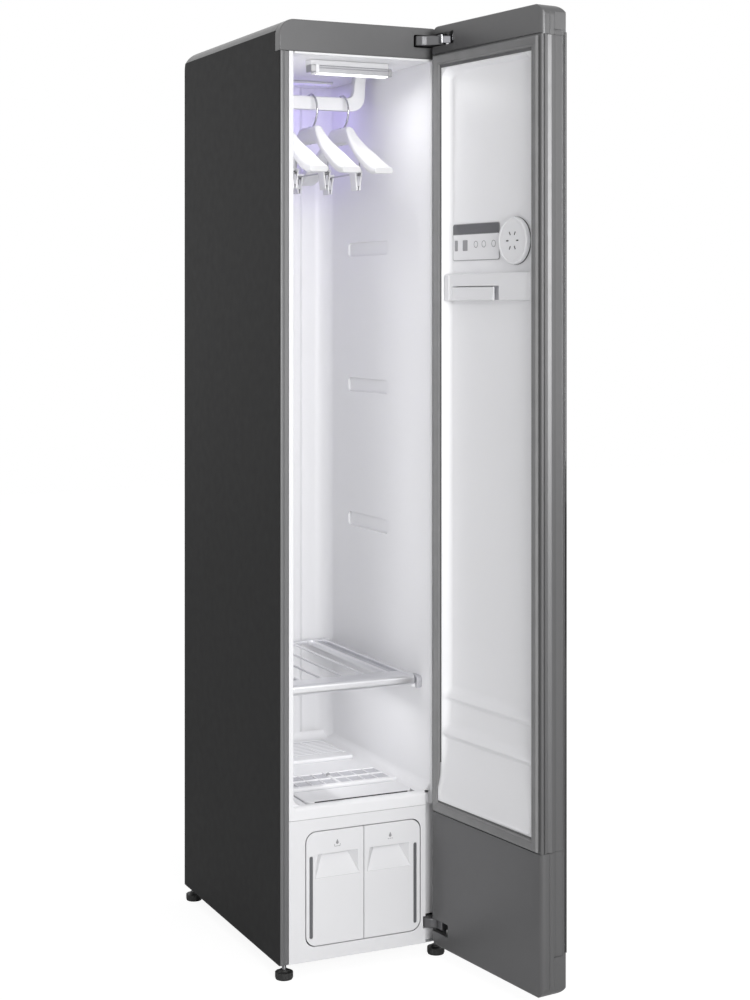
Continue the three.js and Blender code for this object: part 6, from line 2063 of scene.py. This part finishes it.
class CABINET_OT_door_fittings(bpy.types.Operator):
    """Makes the fragrance disc, the blank plate, the trouser holder and its flap."""

    bl_idname = "cabinet.door_fittings"
    bl_label = "Door fittings"

    def execute(self, context):
        self.disc()
        self.plate()
        self.holder()
        self.flap()
        return {"FINISHED"}

    def disc(self):
        low, high = shut_reach("fragrance_disc")
        x, _, z = halfway(low, high)
        base, face = low.y, low.y + 13
        profile = [(3, base), (44.5, base), (44.5, face - 2.5), (43.2, face - 0.6), (41, face)]
        profile += [(39.5, face - 0.4), (38.8, face - 1.2), (3, face - 1.6)]
        disc = lathed("disc_shape", profile, "y", x, z, 96)
        stand_in(disc, "fragrance_disc", "white_fitting", "door_fitting", shut=True)
        tick = block(12, 19, -1.2, 1.2, 0, 0.6)
        ticks = ring("disc_ticks", tick, 6, (x, face - 1.2, z), (math.pi / 2, 0, 0))
        # A black ring under the disc's rim: painted shadow of the gap beneath the disc. The ticks
        # are printed marks.
        seat = turned(
            [(40, base + 1), (45, base + 1), (45, base + 3), (40, base + 3)], "y", x, z, 96
        )
        dark = gather(ticks, loose_object("disc_seat", seat))
        place(dark, "fragrance_disc", "black_moulding", "inlet", shut=True)

    def plate(self):
        """The plate beside the disc, left blank."""
        base = PAN_FLOOR + 0.2
        edge = rectangle(PLATE_NEAR, PLATE_FAR, PLATE_LOW, PLATE_HIGH, 5)
        plate = drawn("blank_plate_edge", edge, "y", base, base + 1.2)
        place(plate, "door_liner", "grey_moulding", "cap", bevel=0.3, shut=True)
        near, far, split = PLATE_NEAR + 1.4, PLATE_FAR - 1.4, PLATE_HIGH - 21
        sheet = rectangle(near, far, PLATE_LOW + 1.4, split - 0.5, (4, 4, 0, 0))
        face = drawn("blank_plate_face", sheet, "y", base + 0.8, base + 1.5)
        place(face, "door_liner", "white_fitting", "door_fitting", shut=True)
        band = rectangle(near, far, split + 0.5, PLATE_HIGH - 1.4, (0, 0, 4, 4))
        head = drawn("blank_plate_band", band, "y", base + 0.8, base + 1.5)
        place(head, "door_liner", "dark_window", "door_fitting", shut=True)
        shapes = []
        for near, far in ((115, 125), (82, 98)):
            card = rectangle(near, far, 1376, 1397, 1.5)
            shapes.append(solid((card, "y", base + 1.2, base + 1.8)))
        for centre in (54, 28, -4):
            loop = [(r, base + a) for r, a in ((5.6, 1.2), (6.8, 1.2), (6.8, 1.8), (5.6, 1.8))]
            shapes.append(looped(turns(loop, "y", centre, 1388, 32)))
        plain = gather(*(loose_object("plate_shape", shape) for shape in shapes))
        place(plain, "door_liner", "grey_moulding", "cap", shut=True)

    def holder(self):
        low, high = shut_reach("trouser_holder")
        flap_low, flap_high = shut_reach("trouser_flap")
        x, y0, y1, z0, z1 = high.x, low.y, high.y, low.z, high.z
        section = fillet([(y0, z0, 0), (y1, z0, 2.5), (y1, z1, 4), (y0, z1, 0)], 6)
        bar = drawn("holder_bar", section, "x", -x, x)
        pocket = block(flap_low.x - 1, flap_high.x + 1, y1 - 9, y1 + CUT, z0 - CUT, flap_high.z + 2)
        carve(bar, pocket)
        end = slab("holder_end", x - 15, x, y0, y1 + 1.6, z0, z1 - 3, 3, "y")
        stop = slab("holder_stop", -x, -x + 9, y0, y1 + 3, z0, z1, 2, "y")
        whole = gather(bar, end, stop)
        stand_in(whole, "trouser_holder", "white_fitting", "door_fitting", 0.8, shut=True)
        # The pocket's back is grey: painted shade inside the pocket behind the flap.
        back = block(flap_low.x + 1, flap_high.x - 1, y1 - 9.3, y1 - 8.4, z0 + 1, flap_high.z + 1)
        place(
            loose_object("holder_well", back), "trouser_holder", "shaded_fitting", "cap", shut=True
        )

    def flap(self):
        low, high = shut_reach("trouser_flap")
        section = rectangle(low.y, high.y, low.z, high.z, (1.6, 1.6, 1.6, 1.6), 5)
        flap = drawn("flap_shape", section, "x", low.x + 17, high.x)
        lip = block(
            low.x + 21, high.x - 4, high.y - 2, high.y + 0.7, low.z + 1, low.z + 4, 1.2, "x"
        )
        whole = gather(flap, loose_object("flap_lip", lip))
        stand_in(whole, "trouser_flap", "white_fitting", "door_fitting", 0.3, shut=True)


# Stage

FLOOR_SPAN = 9000.0
WORLD_STRENGTH = 0.44
LAMP_GAP = 4 * MM
WHITE = (1.0, 1.0, 1.0)
VIOLET = (0.46, 0.36, 1.0)


def lamp(name, place, target, energy, wide, high=None, colour=(1, 1, 1), hidden=False):
    """An area lamp that faces its target and that the camera never sees."""
    data = bpy.data.lights.new(name, "AREA")
    data.energy = energy
    data.color = colour
    data.shape = "RECTANGLE"
    data.size = wide
    data.size_y = high or wide
    obj = bpy.data.objects.new(name, data)
    obj.location = place
    facing = Vector(target) - Vector(place)
    obj.rotation_euler = facing.to_track_quat("-Z", "Y").to_euler()
    obj.visible_camera = False
    obj.visible_glossy = not hidden
    bpy.context.scene.collection.objects.link(obj)


def white_to_the_eye(tree, lit):
    """White for camera, glossy and transmission rays, and the lit shader for the rest."""
    rays = add_node(tree, "ShaderNodeLightPath").outputs
    seen = rays["Is Camera Ray"]
    for ray in ("Is Glossy Ray", "Is Transmission Ray"):
        both = {0: seen, 1: rays[ray]}
        seen = add_node(tree, "ShaderNodeMath", {"operation": "MAXIMUM"}, both).outputs[0]
    white = add_node(tree, "ShaderNodeBackground", {}, {"Color": (1, 1, 1, 1), "Strength": 1.0})
    return mixed(tree, seen, lit, white)


def mixed(tree, share, first, second):
    """One shader that goes from the first to the second by a share."""
    inputs = {0: share, 1: first.outputs[0], 2: second.outputs[0]}
    return add_node(tree, "ShaderNodeMixShader", {}, inputs)


class CABINET_OT_stage(bpy.types.Operator):
    """Makes the floor, the lamps, the world and the camera."""

    bl_idname = "cabinet.stage"
    bl_label = "Stage"

    def execute(self, context):
        settings = context.scene.cabinet_stage
        scene = context.scene
        scene.view_settings.view_transform = "Standard"
        self.world(scene)
        self.floor()
        self.lamps(settings)
        self.camera(scene, settings)
        return {"FINISHED"}

    def world(self, scene):
        scene.world = bpy.data.worlds.new("studio")
        tree = empty_tree(scene.world)
        inputs = {"Color": (1, 1, 1, 1), "Strength": WORLD_STRENGTH}
        soft = add_node(tree, "ShaderNodeBackground", {}, inputs)
        seen = white_to_the_eye(tree, soft)
        add_node(tree, "ShaderNodeOutputWorld", {}, {"Surface": seen.outputs[0]})

    def floor(self):
        low = reach("foot_front_left")[0].z
        mesh = bmesh.new()
        corners = rectangle(-FLOOR_SPAN, FLOOR_SPAN, -FLOOR_SPAN, FLOOR_SPAN)
        mesh.faces.new([mesh.verts.new((x, y, low)) for x, y in corners])
        obj = loose_object("studio_floor", mesh)
        material = bpy.data.materials.new("pale_floor")
        tree = empty_tree(material)
        matt = add_node(tree, "ShaderNodeBsdfDiffuse", {}, {"Color": (0.93, 0.93, 0.93, 1)})
        pale = add_node(tree, "ShaderNodeEmission", {}, {"Strength": 1.2})
        shaded = mixed(tree, 0.75, matt, pale)
        camera_ray = add_node(tree, "ShaderNodeLightPath").outputs["Is Camera Ray"]
        choice = mixed(tree, camera_ray, matt, shaded)
        add_node(tree, "ShaderNodeOutputMaterial", {}, {"Surface": choice.outputs[0]})
        obj.data.materials.append(material)

    def lamps(self, settings):
        centre = (BODY_LOW + BODY_HIGH) / 2 * MM
        lamp("key_lamp", (-0.35, -4.2, 1.55), centre, settings.key_power, 1.8)
        lamp("fill_lamp", (3.0, -2.8, 1.6), centre, settings.fill_power, 2.2)
        glow = settings.glow_power
        for name, place, target, energy, wide, high in (
            ("wash_lamp", (-0.1, -0.85, 1.05), (0.08, 0.1, 1), settings.wash_power, 0.3, 1.3),
            ("glow_lamp", (-0.12, -0.15, 1.6), (0.147, -0.17, 1.6), glow * 0.22, 0.2, 0.46),
            ("side_lamp", (-0.05, -0.2, 0.88), (0.147, -0.2, 0.88), glow * 0.78, 0.14, 1.12),
            ("pool_lamp", (0.0, -0.06, 0.47), (0.0, -0.05, 0.3), glow * 0.3, 0.24, 0.34),
        ):
            lamp(name, place, target, energy, wide, high, hidden=True)
        for name, node, share, facing, energy, colour, length in (
            (
                "ceiling_light",
                "ceiling_lamp",
                0.45,
                (0, -0.2, -1),
                settings.cavity_power,
                WHITE,
                0.5,
            ),
            ("violet_light", "uv_strip", 0.5, (0, 0.3, -1), settings.violet_power, VIOLET, 1.0),
        ):
            low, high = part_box(node)
            span = high.x - low.x
            under = Vector((low.x + span * share, (low.y + high.y) / 2, low.z - LAMP_GAP))
            target = under + Vector(facing)
            lamp(name, under, target, energy, span * length, high.y - low.y, colour)

    def camera(self, scene, settings):
        data = bpy.data.cameras.new("camera")
        data.lens = settings.camera_lens
        data.shift_y = settings.camera_shift
        data.clip_start = 0.05
        camera = bpy.data.objects.new("camera", data)
        camera.location = settings.camera_place
        camera.rotation_euler = (math.pi / 2, 0, -settings.camera_yaw)
        scene.collection.objects.link(camera)
        scene.camera = camera


class CABINET_PT_pieces(bpy.types.Panel):
    """The cabinet's pieces and settings."""

    bl_label = "Steam cabinet"
    bl_space_type = "VIEW_3D"
    bl_region_type = "UI"
    bl_category = "Cabinet"

    def draw(self, context):
        for operator in OPERATORS:
            self.layout.operator(operator.bl_idname)
        for name in SETTINGS:
            group = getattr(context.scene, name)
            for key in group.__annotations__:
                self.layout.prop(group, key)


SETTINGS = {
    "cabinet_colours": FinishColours,
    "cabinet_cavity": CavitySettings,
    "cabinet_door": DoorSettings,
    "cabinet_stage": StageSettings,
}

OPERATORS = (
    CABINET_OT_stage,
    CABINET_OT_finishes,
    CABINET_OT_trees,
    CABINET_OT_casing,
    CABINET_OT_feet,
    CABINET_OT_hinges,
    CABINET_OT_lining,
    CABINET_OT_grilles,
    CABINET_OT_lamps,
    CABINET_OT_rail,
    CABINET_OT_hangers,
    CABINET_OT_shelf,
    CABINET_OT_module,
    CABINET_OT_tanks,
    CABINET_OT_machinery,
    CABINET_OT_door_frame,
    CABINET_OT_door_pan,
    CABINET_OT_door_fittings,
)


def register():
    for group in SETTINGS.values():
        bpy.utils.register_class(group)
    for name, group in SETTINGS.items():
        setattr(bpy.types.Scene, name, PointerProperty(type=group))
    for shown in (*OPERATORS, CABINET_PT_pieces):
        bpy.utils.register_class(shown)


def unregister():
    for shown in (CABINET_PT_pieces, *reversed(OPERATORS)):
        bpy.utils.unregister_class(shown)
    for name in SETTINGS:
        delattr(bpy.types.Scene, name)
    for group in reversed(SETTINGS.values()):
        bpy.utils.unregister_class(group)


def main():
    register()
    for operator in OPERATORS:
        group, name = operator.bl_idname.split(".")
        getattr(getattr(bpy.ops, group), name)()


if __name__ == "__main__":
    main()
